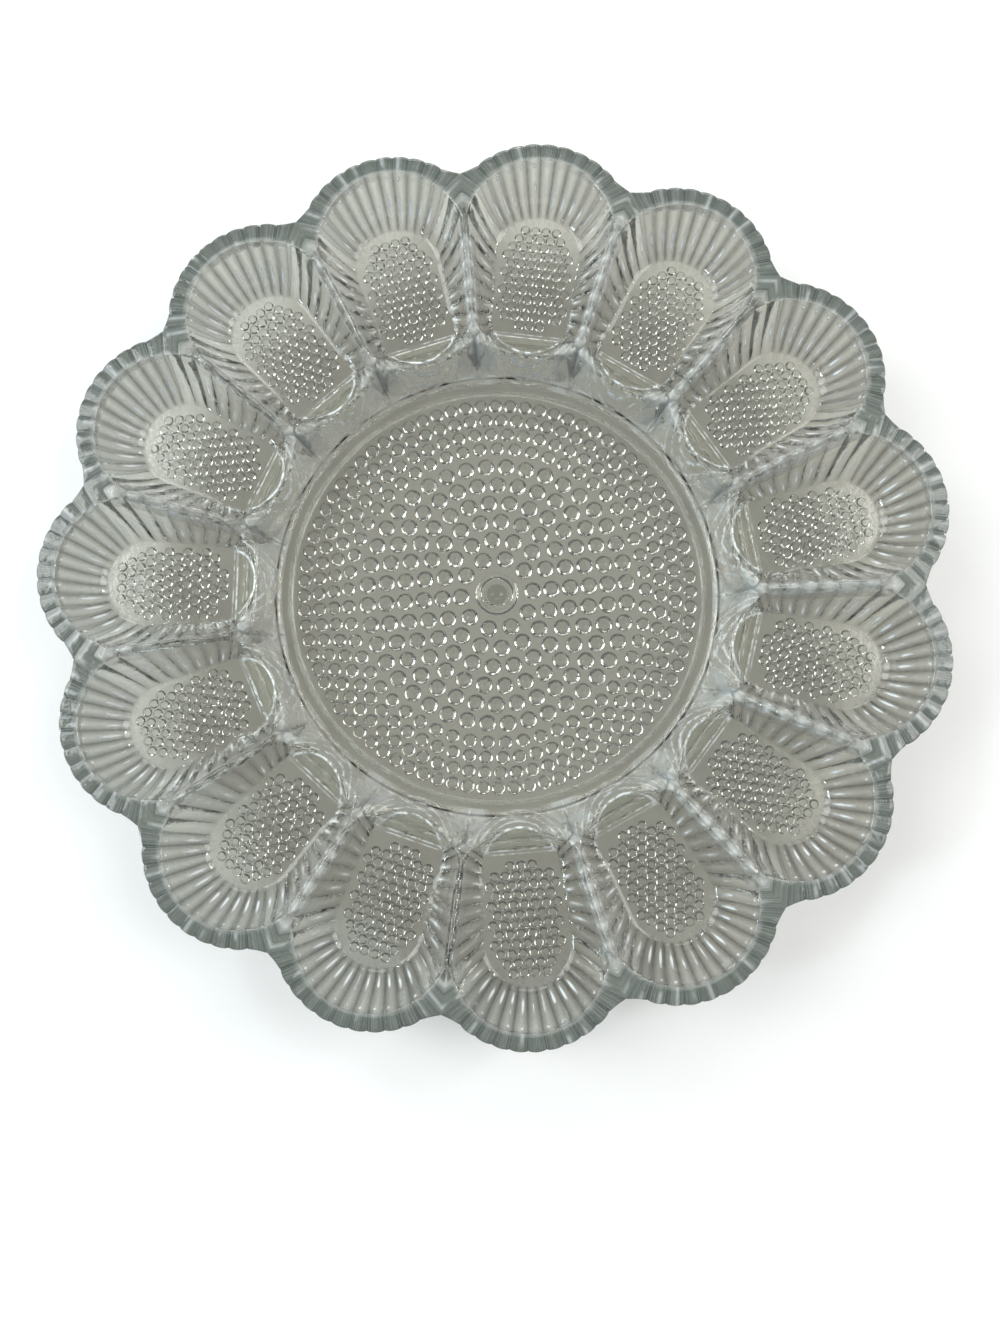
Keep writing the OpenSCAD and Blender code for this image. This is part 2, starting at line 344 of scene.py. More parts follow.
class WellPlan:
    """The plan of one well, and the rays that its two faces are lofted along."""

    def __init__(self, plate: PlateSizes, well: WellSizes, flutes: FluteSizes, steps: MeshSteps) -> None:
        """Works out the fixed points of the plan.

        Args:
            plate: sizes of the pressing.
            well: sizes of the well.
            flutes: sizes of the flutes.
            steps: how finely it is sampled.
        """
        self.plate, self.well, self.flutes, self.steps = plate, well, flutes, steps
        scallop_y = plate.plate_r - plate.scallop_r
        mouth_y = scallop_y + well.mouth_inset
        self.scallop_c, self.mouth_c = np.array([0.0, scallop_y]), np.array([0.0, mouth_y])
        self.mouth = (self.mouth_c, well.mouth_r)
        self.end = (np.array([0.0, well.end_centre_y]), well.end_r)
        a = plate.sector
        notch_r = scallop_y * math.cos(a)
        notch_r += math.sqrt((plate.scallop_r + plate.notch_r) ** 2 - (scallop_y * math.sin(a)) ** 2)
        self.notch_axis = polar(notch_r, a)
        self.notch_end_r = notch_r - plate.notch_r
        self.notch_end = polar(self.notch_end_r, a)
        meet = math.sqrt(well.mouth_r**2 - (mouth_y * math.sin(a)) ** 2)
        self.mouths_meet_r = mouth_y * math.cos(a) + meet
        self.touch_a = math.atan2(self.notch_axis[0], self.notch_axis[1] - scallop_y)
        self.notch_a = math.atan2(self.notch_end[0], self.notch_end[1] - scallop_y)
        self.notch_floor_a = math.atan2(self.notch_end[0], self.notch_end[1] - mouth_y)
        self._arc_len = well.floor_r * (math.pi / 2 - self.notch_floor_a)
        self._side_start = self.mouth_c + polar(well.floor_r, math.pi / 2)
        self._corner = np.array([well.floor_end_w, well.floor_end_y])
        self._path_len = self._arc_len + float(np.linalg.norm(self._corner - self._side_start))

    def outline_reach(self, a: float) -> float:
        """Finds the plate's outline.

        Args:
            a: angle from +y at the scallop's axis.

        Returns:
            Distance from the scallop's axis to the outline.
        """
        if a <= self.touch_a:
            return self.plate.scallop_r
        return cross_circle(self.scallop_c, polar(1, a), self.notch_axis, self.plate.notch_r, far=False)

    def floor_edge(self, s: float) -> Array:
        """Finds a point of the floor's edge.

        Args:
            s: 0 at the notch's flute, round to 1 at the inner corner.

        Returns:
            The point.
        """
        run = s * self._path_len
        if run < self._arc_len:
            turn = mix(self.notch_floor_a, math.pi / 2, run / self._arc_len)
            return self.mouth_c + polar(self.well.floor_r, turn)
        return mix(self._side_start, self._corner, (run - self._arc_len) / (self._path_len - self._arc_len))

    def ridge_z(self, r: float) -> float:
        """Works out how high the ridge between two wells is.

        Args:
            r: distance from the plate's axis.

        Returns:
            The height there.
        """
        w = self.well
        share = (r - w.ridge_end_r) / (self.mouths_meet_r - w.ridge_end_r)
        return min(self.plate.height, mix(w.crest_z, self.plate.height, share))

    def wall_run(self, side: float) -> float:
        """Distance from the dish's edge to the wall's top, from side 0 in the well's middle to 1."""
        return mix(*self.well.wall_runs, side * side)

    def foot_run(self, side: float) -> float:
        """Distance from the dish's edge to the foot of the wall."""
        return mix(self.well.wall_foot, self.well.valley_foot_r - self.plate.dish_r, side**3)

    @staticmethod
    def _runs(floor: Array, border: Array, circle: tuple[Array, float]) -> tuple[float, float]:
        """Measures a ray.

        Args:
            floor: its start.
            border: its end.
            circle: centre and radius of a circle.

        Returns:
            The ray's length, and the distance along it to the circle.
        """
        reach = float(np.linalg.norm(border - floor))
        return reach, cross_circle(floor, (border - floor) / reach, *circle)

    def _rim_ray(self, k: float) -> Ray:
        """Plans a ray to the rim.

        Args:
            k: its place, in half flutes.

        Returns:
            The ray.
        """
        w, share, top = self.well, k / self.flutes.rim_count, self.plate.height
        a = self.notch_a * share
        floor = self.mouth_c + polar(w.floor_r, self.notch_floor_a * share)
        border = self.scallop_c + polar(self.outline_reach(a), a) if share < 1 else self.notch_end
        reach, crest = self._runs(floor, border, self.mouth)
        ends = (top, top - self.plate.rim_edge_h)
        return Ray(Kind.RIM, floor, border, crest, top, reach, *ends, w.wall_power, 0, k, 1, w.edge_round)

    def _side_ray(self, k: float) -> Ray:
        """Plans a ray to the ridge between two wells.

        Args:
            k: its place, in half flutes from the notch.

        Returns:
            The ray.
        """
        w, count = self.well, 2 * self.flutes.side_count
        out = (1 - k / count) ** self.flutes.spread
        r = mix(w.ridge_end_r, self.notch_end_r, out)
        border = polar(r, self.plate.sector)
        floor = self.floor_edge((1 - out) * self.flutes.last_share)
        reach, to_mouth = self._runs(floor, border, self.mouth)
        crest = reach - w.ridge_half_w
        if r > self.mouths_meet_r:
            crest = min(crest, to_mouth)
        inner = smooth((k / count - w.inner_from) / (1 - w.inner_from))
        crest = mix(crest, self._runs(floor, border, self.end)[1], inner)
        top, phase = self.ridge_z(r), self.flutes.rim_count + k
        ends = (top, top - self.plate.rim_edge_h)
        power = mix(w.wall_power, w.end_power, inner)
        rounding = mix(w.edge_round, w.ridge_round, smooth(k / 4))
        form = (power, 0.5 * inner, phase, 1, rounding)
        return Ray(Kind.RIDGE, floor, border, crest, top, reach, *ends, *form)

    def _cusp_ray(self, share: float) -> Ray:
        """Plans a ray to the valley between two wells.

        Args:
            share: 0 at the ridge's end and 1 at the dish.

        Returns:
            The ray.
        """
        w, plate = self.well, self.plate
        border = polar(mix(w.ridge_end_r, w.valley_foot_r, share), plate.sector)
        floor = self.floor_edge(mix(self.flutes.last_share, 1, share))
        reach, bowl_end = self._runs(floor, border, self.end)
        shoulder = reach - share * (self.wall_run(1) - (w.valley_foot_r - plate.dish_r))
        top = mix(w.crest_z, plate.dish_floor_z, share)
        ends = (top, mix(w.crest_z - plate.rim_edge_h, plate.dish_under_z, share))
        phase = self.flutes.rim_count + 2 * self.flutes.side_count + share
        form = (w.end_power, mix(0.5, 1, share), phase, 1 - share, mix(w.ridge_round, w.facet_round, share))
        return Ray(Kind.CUSP, floor, border, min(bowl_end, shoulder), w.crest_z, shoulder, *ends, *form)

    def _end_ray(self, side: float) -> Ray:
        """Plans a ray to the dish.

        Args:
            side: 1 at the sector's side and 0 in its middle.

        Returns:
            The ray.
        """
        w, plate = self.well, self.plate
        border = polar(plate.dish_r, plate.sector * side)
        floor = np.array([w.floor_end_w * side, w.floor_end_y])
        reach, bowl_end = self._runs(floor, border, self.end)
        shoulder = reach - self.wall_run(side)
        bowl_end = min(bowl_end, shoulder - w.shoulder_gap)
        phase = self.flutes.rim_count + 2 * self.flutes.side_count + 1
        ends, form = (plate.dish_floor_z, plate.dish_under_z), (w.end_power, 1, phase, 0, w.facet_round)
        return Ray(Kind.DISH, floor, border, bowl_end, w.crest_z, shoulder, *ends, *form)

    def half_rays(self) -> list[Ray]:
        """Plans the rays of the sector's right half.

        Returns:
            The rays, from the middle of the scallop to the middle of the dish side.
        """
        step, rim, side = self.steps.flute_step, self.flutes.rim_count, 2 * self.flutes.side_count
        rays = [self._rim_ray(k) for k in np.linspace(0, rim, round(rim / step) + 1)]
        rays += [self._side_ray(k) for k in np.linspace(0, side, round(side / step) + 1)[1:]]
        rays += [self._cusp_ray(s) for s in np.linspace(0, 1, self.steps.cusp_rays + 1)[1:-1]]
        rays += [self._end_ray(s) for s in np.linspace(1, 0, self.steps.end_rays + 1)]
        return rays


# ---------------------------------------------------------------- faces along a ray


def even_line(points: Array, step: float) -> Array:
    """Samples a polyline at an even step.

    Args:
        points: the polyline.
        step: distance between samples.

    Returns:
        The samples, with both ends.
    """
    runs = np.concatenate([[0], np.cumsum(np.linalg.norm(np.diff(points, axis=0), axis=1))])
    keep = np.concatenate([[True], np.diff(runs) > 1e-9])
    runs, points = runs[keep], points[keep]
    at = np.linspace(0, runs[-1], max(2, int(round(runs[-1] / step)) + 1))
    return np.stack([np.interp(at, runs, points[:, i]) for i in range(3)], axis=1)


def soften(points: Array, before: Array, after: Sequence[Array], radius: float, step: float) -> Array:
    """Rounds the corners of a polyline as a mould's edges are rounded by wear.

    Args:
        points: the polyline.
        before: a point that leads into it.
        after: points that lead on from it.
        radius: about the radius of the rounding.
        step: spacing of the result.

    Returns:
        The rounded polyline, over the same stretch.
    """
    line = even_line(points, step)
    n = max(2, int(round(radius / step)))
    lead = even_line(np.stack([before, points[0]]), step)[:-1][-2 * n :]
    tail = even_line(np.vstack([points[-1:], after]), step)[1:][: 2 * n]
    whole = np.vstack([lead, line, tail])
    kernel = np.convolve(np.ones(n) / n, np.ones(n) / n)
    pad = (len(kernel) // 2, len(kernel) - 1 - len(kernel) // 2)
    axes = [np.convolve(np.pad(whole[:, i], pad, "edge"), kernel, "valid") for i in range(3)]
    return np.stack(axes, axis=1)[len(lead) : len(lead) + len(line)]


def spread_points(line: Array, count: int, bend_weight: float, window: int = 9) -> Array:
    """Picks points of a line, closer together where it bends.

    Args:
        line: a fine polyline.
        count: how many points.
        bend_weight: metres of length that a radian of bend counts for.
        window: samples that a bend is spread over.

    Returns:
        The points, with both ends.
    """
    steps = np.diff(line, axis=0)
    weight = np.linalg.norm(steps, axis=1)
    dirs = steps / np.maximum(weight, 1e-12)[:, None]
    bends = np.arccos(np.clip((dirs[1:] * dirs[:-1]).sum(axis=1), -1, 1))
    bends = np.convolve(np.pad(bends, window // 2, "edge"), np.ones(window) / window, "valid")
    weight[1:] += bend_weight * bends
    runs, places = np.concatenate([[0], np.cumsum(weight)]), np.arange(len(line))
    at = np.interp(np.linspace(0, runs[-1], count), runs, places)
    return np.stack([np.interp(at, places, line[:, i]) for i in range(3)], axis=1)


@dataclass
class WellFaces:
    """The upper and lower faces of one well as two grids of points."""

    plan: WellPlan
    far_bead: float = 0.7
    wall_rise: float = 1.35
    dish_rise: float = 2.1
    mirrored_point: int = 8

    def __post_init__(self) -> None:
        """Lofts both faces."""
        self.rays = self.plan.half_rays()
        self.top = np.stack([self._top_line(r) for r in self.rays])
        self.under = np.stack([self._under_line(r) for r in self.rays])

    def _mirror(self, p: Array) -> Array:
        """Mirrors a point in the side of the sector.

        Args:
            p: the point.

        Returns:
            Its mirror image.
        """
        a = self.plan.plate.sector
        side, out = polar(1, a), np.array([math.cos(a), -math.sin(a)])
        return raised((p[:2] @ side) * side - (p[:2] @ out) * out, p[2])

    def _bowl(self, ray: Ray) -> list[Array]:
        """Draws the bowl along a ray, with the flat facet of the dish side.

        Args:
            ray: the ray.

        Returns:
            Points of the upper face, from the floor's edge to the top of the bowl.
        """
        w = self.plan.well
        points = []
        slope = (w.crest_z - w.floor_z) / (w.floor_end_y - (w.end_centre_y - w.end_r))
        for t in np.linspace(0, 1, self.plan.steps.bowl_points):
            p = ray.at(t * ray.bowl_end, w.floor_z + (ray.bowl_z - w.floor_z) * t**ray.bowl_power)
            if ray.kind in (Kind.DISH, Kind.CUSP):
                facet = w.floor_z + slope * (w.floor_end_y - p[1])
                p[2] = min(ray.bowl_z, max(p[2], facet)) + self._bead(ray, t * ray.bowl_end)
            points.append(p)
        return points

    def _bead(self, ray: Ray, run: float) -> float:
        """Works out the low beads along the edges of the flat facet.

        Args:
            ray: the ray that they cross.
            run: distance from the floor's edge.

        Returns:
            Their height there.
        """
        w = self.plan.well
        half = w.bead_w / 2
        near, far = (run - w.bead_w) / half, (ray.bowl_end - run - half) / half
        return w.bead_h * (1 - ray.fluted) * (math.exp(-near * near) + self.far_bead * math.exp(-far * far))

    def _sink_moon(self, points: Array) -> None:
        """Lowers the points that lie inside the half-moon facet.

        Args:
            points: the points, which it changes.
        """
        w = self.plan.well
        for p in points:
            if p[2] > w.floor_z:
                inside, past = -w.moon_edge(p[0], p[1]), w.floor_end_y - p[1]
                p[2] -= w.moon_drop * smooth(inside / (2 * w.moon_drop)) * smooth(past / (2 * w.moon_drop))

    def _top_line(self, ray: Ray) -> Array:
        """Draws the upper face along a ray.

        Args:
            ray: the ray.

        Returns:
            Points from the floor's edge to the border.
        """
        plan, steps = self.plan, self.plan.steps
        points = self._bowl(ray)
        before = points[0] - raised(ray.way, 0) * steps.lead
        border, shoulder = ray.at(ray.reach, ray.border_top), ray.at(ray.shoulder, ray.bowl_z)
        if ray.kind is Kind.RIM:
            end = border - UP * plan.well.edge_drop
            points += [border, end]
            after = [end - UP * steps.lead]
        elif ray.kind is Kind.DISH:
            foot = ray.at(ray.reach - plan.foot_run(ray.aside / plan.plate.sector), ray.border_top)
            seam = raised(ray.outward * plan.plate.seam_r, ray.border_top)
            points += [shoulder, foot, border, seam]
            after = [seam - raised(ray.outward, 0) * steps.lead]
        else:
            points += [shoulder, border]
            after = [self._mirror(p) for p in reversed(points[:-1])]
        sharp = np.array(points)
        if ray.fluted < 1:
            sharp = even_line(sharp, steps.fine)
            self._sink_moon(sharp)
        line = soften(sharp, before, after, ray.rounding, steps.fine)
        line[0] = sharp[0]
        if ray.on_border:
            line[-1] = sharp[-1]
        return spread_points(line, steps.top_points, steps.top_bend)

    def _under_line(self, ray: Ray) -> Array:
        """Draws the lower face along a ray.

        Args:
            ray: the ray.

        Returns:
            Points from the border to the edge of the floor's underside.
        """
        steps, w = self.plan.steps, self.plan.well
        points = []
        for u in np.linspace(1, 0, steps.wall_points):
            share = mix(u**self.wall_rise, 1 - (1 - u) ** self.dish_rise, smooth(ray.end_share))
            level = mix(w.under_z, ray.border_under, share)
            points.append(ray.at(mix(w.under_floor_out, ray.reach, u), level))
        last = points[-1]
        after = [last - raised(ray.way, 0) * steps.lead]
        if ray.kind is Kind.RIM:
            points.insert(0, points[0] + UP * w.edge_drop)
            before = points[0] + UP * steps.lead
        elif ray.kind is Kind.DISH:
            before = points[0] - raised(ray.outward, 0) * steps.lead
        else:
            before = self._mirror(points[self.mirrored_point])
        line = soften(np.array(points), before, after, max(w.edge_round, ray.rounding), steps.fine)
        line[0] = points[0] if ray.on_border else (line[0] + self._mirror(line[0])) / 2
        line[-1] = last
        return spread_points(line, steps.under_points, steps.under_bend)


# ---------------------------------------------------------------- meshes


def ngon_area(points: Array) -> float:
    """Signed area of a closed outline in plan."""
    x, y = points[:, 0], points[:, 1]
    return 0.5 * float(np.sum(x * np.roll(y, -1) - np.roll(x, -1) * y))


def ring_faces(rings: int, sides: int) -> list[Face]:
    """Faces between rings of points.

    Args:
        rings: how many rings.
        sides: points of each.

    Returns:
        Four-sided faces, ring after ring.
    """
    faces = []
    for k in range(rings - 1):
        near, far = k * sides, (k + 1) * sides
        for i in range(sides):
            j = (i + 1) % sides
            faces.append((near + i, far + i, far + j, near + j))
    return faces


def make_mesh(name: str, points: Iterable, faces: Sequence[Face], **layers: list[float]) -> bpy.types.Mesh:
    """Makes a mesh with smooth faces.

    Args:
        name: its name.
        points: its points.
        faces: its faces.
        layers: values for each point, by the name of the attribute that takes them.

    Returns:
        The mesh.
    """
    mesh = bpy.data.meshes.new(name)
    mesh.from_pydata([tuple(p) for p in points], [], faces)
    mesh.polygons.foreach_set("use_smooth", [True] * len(faces))
    for layer, values in layers.items():
        mesh.attributes.new(layer, "FLOAT", "POINT").data.foreach_set("value", values)
    return mesh


def outline_mesh(outlines: Sequence[Array], places: Sequence[tuple[Array, float]]) -> bpy.types.Mesh:
    """Makes a mesh of closed outlines and of loose points that are marked as centres.

    Args:
        outlines: the outlines' points.
        places: the centres, each with the size that it takes.

    Returns:
        The mesh.
    """
    points, edges = [], []
    for outline in outlines:
        first, n = len(points), len(outline)
        points += [(float(p[0]), float(p[1]), 0.0) for p in outline]
        edges += [(first + i, first + (i + 1) % n) for i in range(n)]
    n = len(points)
    points += [(float(c[0]), float(c[1]), 0.0) for c, _ in places]
    shares = [1.0] * n + [share for _, share in places]
    mesh = bpy.data.meshes.new("outline")
    mesh.from_pydata(points, edges, [])
    for name, kind, values in (
        ("centre", "BOOLEAN", [i >= n for i in range(len(points))]),
        ("hob_share", "FLOAT", shares),
    ):
        mesh.attributes.new(name, kind, "POINT").data.foreach_set("value", values)
    return mesh


def join_meshes(name: str, parts: Iterable[bpy.types.Mesh], material: bpy.types.Material) -> bpy.types.Mesh:
    """Joins meshes into one and welds their seams.

    Args:
        name: name of the mesh.
        parts: the meshes.
        material: their finish.

    Returns:
        The joined mesh.
    """
    work = bmesh.new()
    for part in parts:
        work.from_mesh(part)
        bpy.data.meshes.remove(part)
    bmesh.ops.remove_doubles(work, verts=work.verts, dist=WELD)
    mesh = bpy.data.meshes.new(name)
    work.to_mesh(mesh)
    work.free()
    mesh.materials.clear()
    mesh.materials.append(material)
    for extra in ("edge_in", "flute_lift", "centre", "hob_share"):
        if extra in mesh.attributes:
            mesh.attributes.remove(mesh.attributes[extra])
    return mesh


def add_object(name: str, data: bpy.types.ID) -> bpy.types.Object:
    """Adds an object to the scene, unmoved.

    Args:
        name: its name.
        data: its mesh, lamp or camera.

    Returns:
        The object.
    """
    made = bpy.data.objects.new(name, data)
    bpy.context.scene.collection.objects.link(made)
    return made


# ---------------------------------------------------------------- node trees


class Value:
    """The output of a node, with arithmetic that adds Math nodes to its tree."""

    def __init__(self, tree: "NodeTree", socket: bpy.types.NodeSocket) -> None:
        """Remembers the socket and its tree."""
        self.tree, self.socket = tree, socket

    def math(self, operation: str, *others: "Value | float") -> "Value":
        """Adds a Math node that takes this value first."""
        return self.tree.math(operation, self, *others)

    def __add__(self, other: "Value | float") -> "Value":
        """The sum of both."""
        return self.math("ADD", other)

    def __sub__(self, other: "Value | float") -> "Value":
        """This value less the other."""
        return self.math("SUBTRACT", other)

    def __rsub__(self, other: float) -> "Value":
        """The other value less this one."""
        return self.tree.math("SUBTRACT", other, self)

    def __mul__(self, other: "Value | float") -> "Value":
        """The product of both."""
        return self.math("MULTIPLY", other)

    def __truediv__(self, other: "Value | float") -> "Value":
        """This value over the other."""
        return self.math("DIVIDE", other)

    def __pow__(self, other: "Value | float") -> "Value":
        """This value to the power of the other."""
        return self.math("POWER", other)


class NodeTree:
    """A node tree that is built in short lines."""

    def __init__(self, tree: bpy.types.NodeTree) -> None:
        """Takes an empty tree."""
        self.tree = tree

    def connect(self, value: object, socket: bpy.types.NodeSocket) -> None:
        """Feeds an input.

        Args:
            value: a value, a node's first output, a list of them, or a plain setting.
            socket: the input.
        """
        if isinstance(value, list):
            for one in value:
                self.connect(one, socket)
        elif isinstance(value, Value):
            self.tree.links.new(value.socket, socket)
        elif isinstance(value, bpy.types.Node):
            self.tree.links.new(value.outputs[0], socket)
        else:
            socket.default_value = value

    def node(self, kind: str, links: dict, **settings: object) -> bpy.types.Node:
        """Adds a node.

        Args:
            kind: the node's type.
            links: what feeds its inputs, by their name or number.
            settings: properties of the node.

        Returns:
            The node.
        """
        made = self.tree.nodes.new(kind)
        for key, value in settings.items():
            setattr(made, key, value)
        for key, value in links.items():
            self.connect(value, made.inputs[key])
        return made

    def value(self, kind: str, links: dict, output: int | str = 0, **settings: object) -> Value:
        """Adds a node and takes one of its outputs.

        Args:
            kind: the node's type.
            links: what feeds its inputs.
            output: name or number of the output.
            settings: properties of the node.

        Returns:
            The output.
        """
        return Value(self, self.node(kind, links, **settings).outputs[output])

    def math(self, operation: str, *values: Value | float) -> Value:
        """Adds a Math node and takes its result."""
        return self.value("ShaderNodeMath", dict(enumerate(values)), operation=operation)


class GeometryTree(NodeTree):
    """A geometry node tree with named inputs, which runs on a mesh."""

    def __init__(self, name: str, inputs: dict[str, float | int]) -> None:
        """Starts the tree.

        Args:
            name: its name.
            inputs: its named inputs with their default values.
        """
        super().__init__(bpy.data.node_groups.new(name, "GeometryNodeTree"))
        face = self.tree.interface
        for way in ("INPUT", "OUTPUT"):
            face.new_socket("Geometry", in_out=way, socket_type="NodeSocketGeometry")
        self.ids: dict[str, str] = {}
        for title, value in inputs.items():
            kind = "NodeSocketInt" if isinstance(value, int) else "NodeSocketFloat"
            item = face.new_socket(title, in_out="INPUT", socket_type=kind)
            item.default_value = value
            self.ids[title] = item.identifier
        start = self.tree.nodes.new("NodeGroupInput")
        self.given = {title: Value(self, start.outputs[title]) for title in ("Geometry", *inputs)}

    def read(self, name: str, kind: str = "FLOAT") -> Value:
        """Reads a named attribute of the geometry."""
        made = self.node("GeometryNodeInputNamedAttribute", {"Name": name}, data_type=kind)
        return Value(self, next(s for s in made.outputs if s.enabled and s.name == "Attribute"))

    def finish(self, geometry: bpy.types.Node, material: bpy.types.Material) -> None:
        """Ends the tree in Realize Instances and Set Material.

        Args:
            geometry: what comes before them.
            material: the finish.
        """
        real = self.node("GeometryNodeRealizeInstances", {0: geometry})
        painted = self.node("GeometryNodeSetMaterial", {"Geometry": real, "Material": material})
        self.node("NodeGroupOutput", {0: painted})

    def run(self, mesh: bpy.types.Mesh, values: dict[str, float | int]) -> bpy.types.Mesh:
        """Runs the tree on a mesh.

        Args:
            mesh: the geometry that goes in.
            values: settings of the named inputs.

        Returns:
            The result as a plain mesh.
        """
        base = add_object("base", mesh)
        modifier = base.modifiers.new("nodes", "NODES")
        modifier.node_group = self.tree
        for name, value in values.items():
            modifier[self.ids[name]] = value
        base.update_tag()
        graph = bpy.context.evaluated_depsgraph_get()
        done = base.evaluated_get(graph)
        result = bpy.data.meshes.new_from_object(done, preserve_all_data_layers=True, depsgraph=graph)
        base.modifiers.clear()
        bpy.data.objects.remove(base)
        return result


class FluteTree(GeometryTree):
    """Presses flutes into a face from the attributes that say where they run."""

    def __init__(self, material: bpy.types.Material) -> None:
        """Builds the tree.

        Args:
            material: the glass.
        """
        super().__init__("flutes", {"Flute Depth": 0.9 * MM, "Edge Depth": 0.45 * MM, "Rib Fullness": 0.6})
        get = self.given
        turn = (self.read("flute_phase") * QUARTER).math("COSINE").math("ABSOLUTE")
        groove = 1.0 - turn.math("MAXIMUM", 0.0001) ** get["Rib Fullness"]
        up = self.node("ShaderNodeCombineXYZ", {2: groove * self.read("flute_lift") * get["Flute Depth"]})
        pushed = {0: self.read("edge_in", "FLOAT_VECTOR"), "Scale": groove * get["Edge Depth"]}
        inward = self.node("ShaderNodeVectorMath", pushed, operation="SCALE")
        offset = self.node("ShaderNodeVectorMath", {0: up, 1: inward}, operation="ADD")
        moved = self.node("GeometryNodeSetPosition", {"Geometry": get["Geometry"], "Offset": offset})
        self.finish(moved, material)

    def flute(self, mesh: bpy.types.Mesh, flutes: FluteSizes) -> bpy.types.Mesh:
        """Runs the tree with the flutes' sizes.

        Args:
            mesh: the face.
            flutes: sizes of the flutes.

        Returns:
            The fluted face.
        """
        sizes = {"Flute Depth": flutes.depth, "Edge Depth": flutes.edge_depth}
        return self.run(mesh, sizes | {"Rib Fullness": flutes.fullness})


class HobTree(GeometryTree):
    """Fills an outline and sets a dome in a hole at each marked point, so that the face stays closed."""

    def __init__(self, material: bpy.types.Material) -> None:
        """Builds the tree.

        Args:
            material: the glass.
        """
        sizes = {"Hob Diameter": 3.3 * MM, "Hob Height": 1.2 * MM, "Hob Sides": 12, "Hob Rings": 4}
        super().__init__("hobnails", sizes | {"Level": 0.0})
        get = self.given
        split = {"Geometry": get["Geometry"], "Selection": self.read("centre", "BOOLEAN")}
        parts = self.node("GeometryNodeSeparateGeometry", split, domain="POINT")
        radius = get["Hob Diameter"] * 0.5
        ring = {"Vertices": get["Hob Sides"], "Radius": radius}
        holes = self._at_points(parts, self.node("GeometryNodeMeshCircle", ring, fill_type="NONE"))
        outlines = self.node("GeometryNodeJoinGeometry", {0: [holes, Value(self, parts.outputs[1])]})
        curves = self.node("GeometryNodeMeshToCurve", {"Mesh": outlines})
        filled = self.node("GeometryNodeFillCurve", {"Curve": curves}, mode="TRIANGLES")
        flat = self.node("GeometryNodeSetShadeSmooth", {"Geometry": filled, "Shade Smooth": False})
        floor = self.node("GeometryNodeFlipFaces", {"Mesh": flat})
        turned = self.node("GeometryNodeFlipFaces", {"Mesh": self._at_points(parts, self._dome(radius))})
        domes = self.node("GeometryNodeSetShadeSmooth", {"Geometry": turned, "Shade Smooth": True})
        both = self.node("GeometryNodeJoinGeometry", {0: [floor, domes]})
        merged = self.node("GeometryNodeMergeByDistance", {"Geometry": both, "Distance": WELD})
        lift = self.node("ShaderNodeCombineXYZ", {2: get["Level"]})
        self.finish(self.node("GeometryNodeSetPosition", {"Geometry": merged, "Offset": lift}), material)

    def _at_points(self, parts: bpy.types.Node, shape: bpy.types.Node) -> bpy.types.Node:
        """Sets a shape at each marked point.

        Args:
            parts: the node whose first output has the points.
            shape: the shape.

        Returns:
            The real shapes.
        """
        placed = {"Points": parts, "Instance": shape, "Scale": self.read("hob_share")}
        copies = self.node("GeometryNodeInstanceOnPoints", placed)
        return self.node("GeometryNodeRealizeInstances", {0: copies})

    def _dome(self, radius: Value) -> bpy.types.Node:
        """Bends a cone into part of a ball, which hangs down.

        Args:
            radius: radius of its edge.

        Returns:
            The dome.
        """
        get = self.given
        form = {"Vertices": get["Hob Sides"], "Side Segments": get["Hob Rings"], "Depth": MM}
        form |= {"Radius Top": 0.0, "Radius Bottom": radius}
        cone = self.node("GeometryNodeMeshCone", form, fill_type="NONE")
        xyz = self.node("ShaderNodeSeparateXYZ", {0: self.node("GeometryNodeInputPosition", {})}).outputs
        x, y, high = Value(self, xyz[0]), Value(self, xyz[1]), get["Hob Height"]
        out = (x**2.0 + y**2.0).math("SQRT")
        ball = (radius**2.0 + high**2.0) / (high * 2.0)
        angle = out / radius * ((high / radius).math("ARCTANGENT") * 2.0)
        spread = ball * angle.math("SINE") / out.math("MAXIMUM", 1e-7)
        depth = ball * angle.math("COSINE") - (ball - high)
        place = self.node("ShaderNodeCombineXYZ", {0: x * spread, 1: y * spread, 2: depth * -1.0})
        told = {"Geometry": cone, "Name": "hob_in", "Value": 1.0 - out / radius}
        marked = self.node("GeometryNodeStoreNamedAttribute", told)
        return self.node("GeometryNodeSetPosition", {"Geometry": marked, "Position": place})

    def stud(
        self, outlines: Sequence[Array], places: Sequence, hobs: HobSizes, level: float
    ) -> bpy.types.Mesh:
        """Runs the tree with the hobnails' sizes.

        Args:
            outlines: outer and inner outlines of the floor.
            places: centres of the hobnails, with the size that each one takes.
            hobs: sizes of the largest.
            level: height of the floor.

        Returns:
            The floor with its hobnails.
        """
        sizes = {"Hob Diameter": hobs.diameter, "Hob Height": hobs.height, "Level": level}
        sizes |= {"Hob Sides": hobs.sides, "Hob Rings": hobs.rings}
        return self.run(outline_mesh(outlines, places), sizes)


# ---------------------------------------------------------------- finishes


@dataclass(frozen=True)
class Ramp:
    """A change of a value: from low to high it goes from start to end, and it stays level outside them."""

    low: float
    high: float
    start: float = 0.0
    end: float = 1.0


@dataclass(frozen=True)
class Line:
    """A soft painted line in the glass, for painted highlights and painted shade: the distance it follows,
    and its place, half width (in mm) and strength.
    """

    name: str
    at: float
    half_width: float
    weight: float


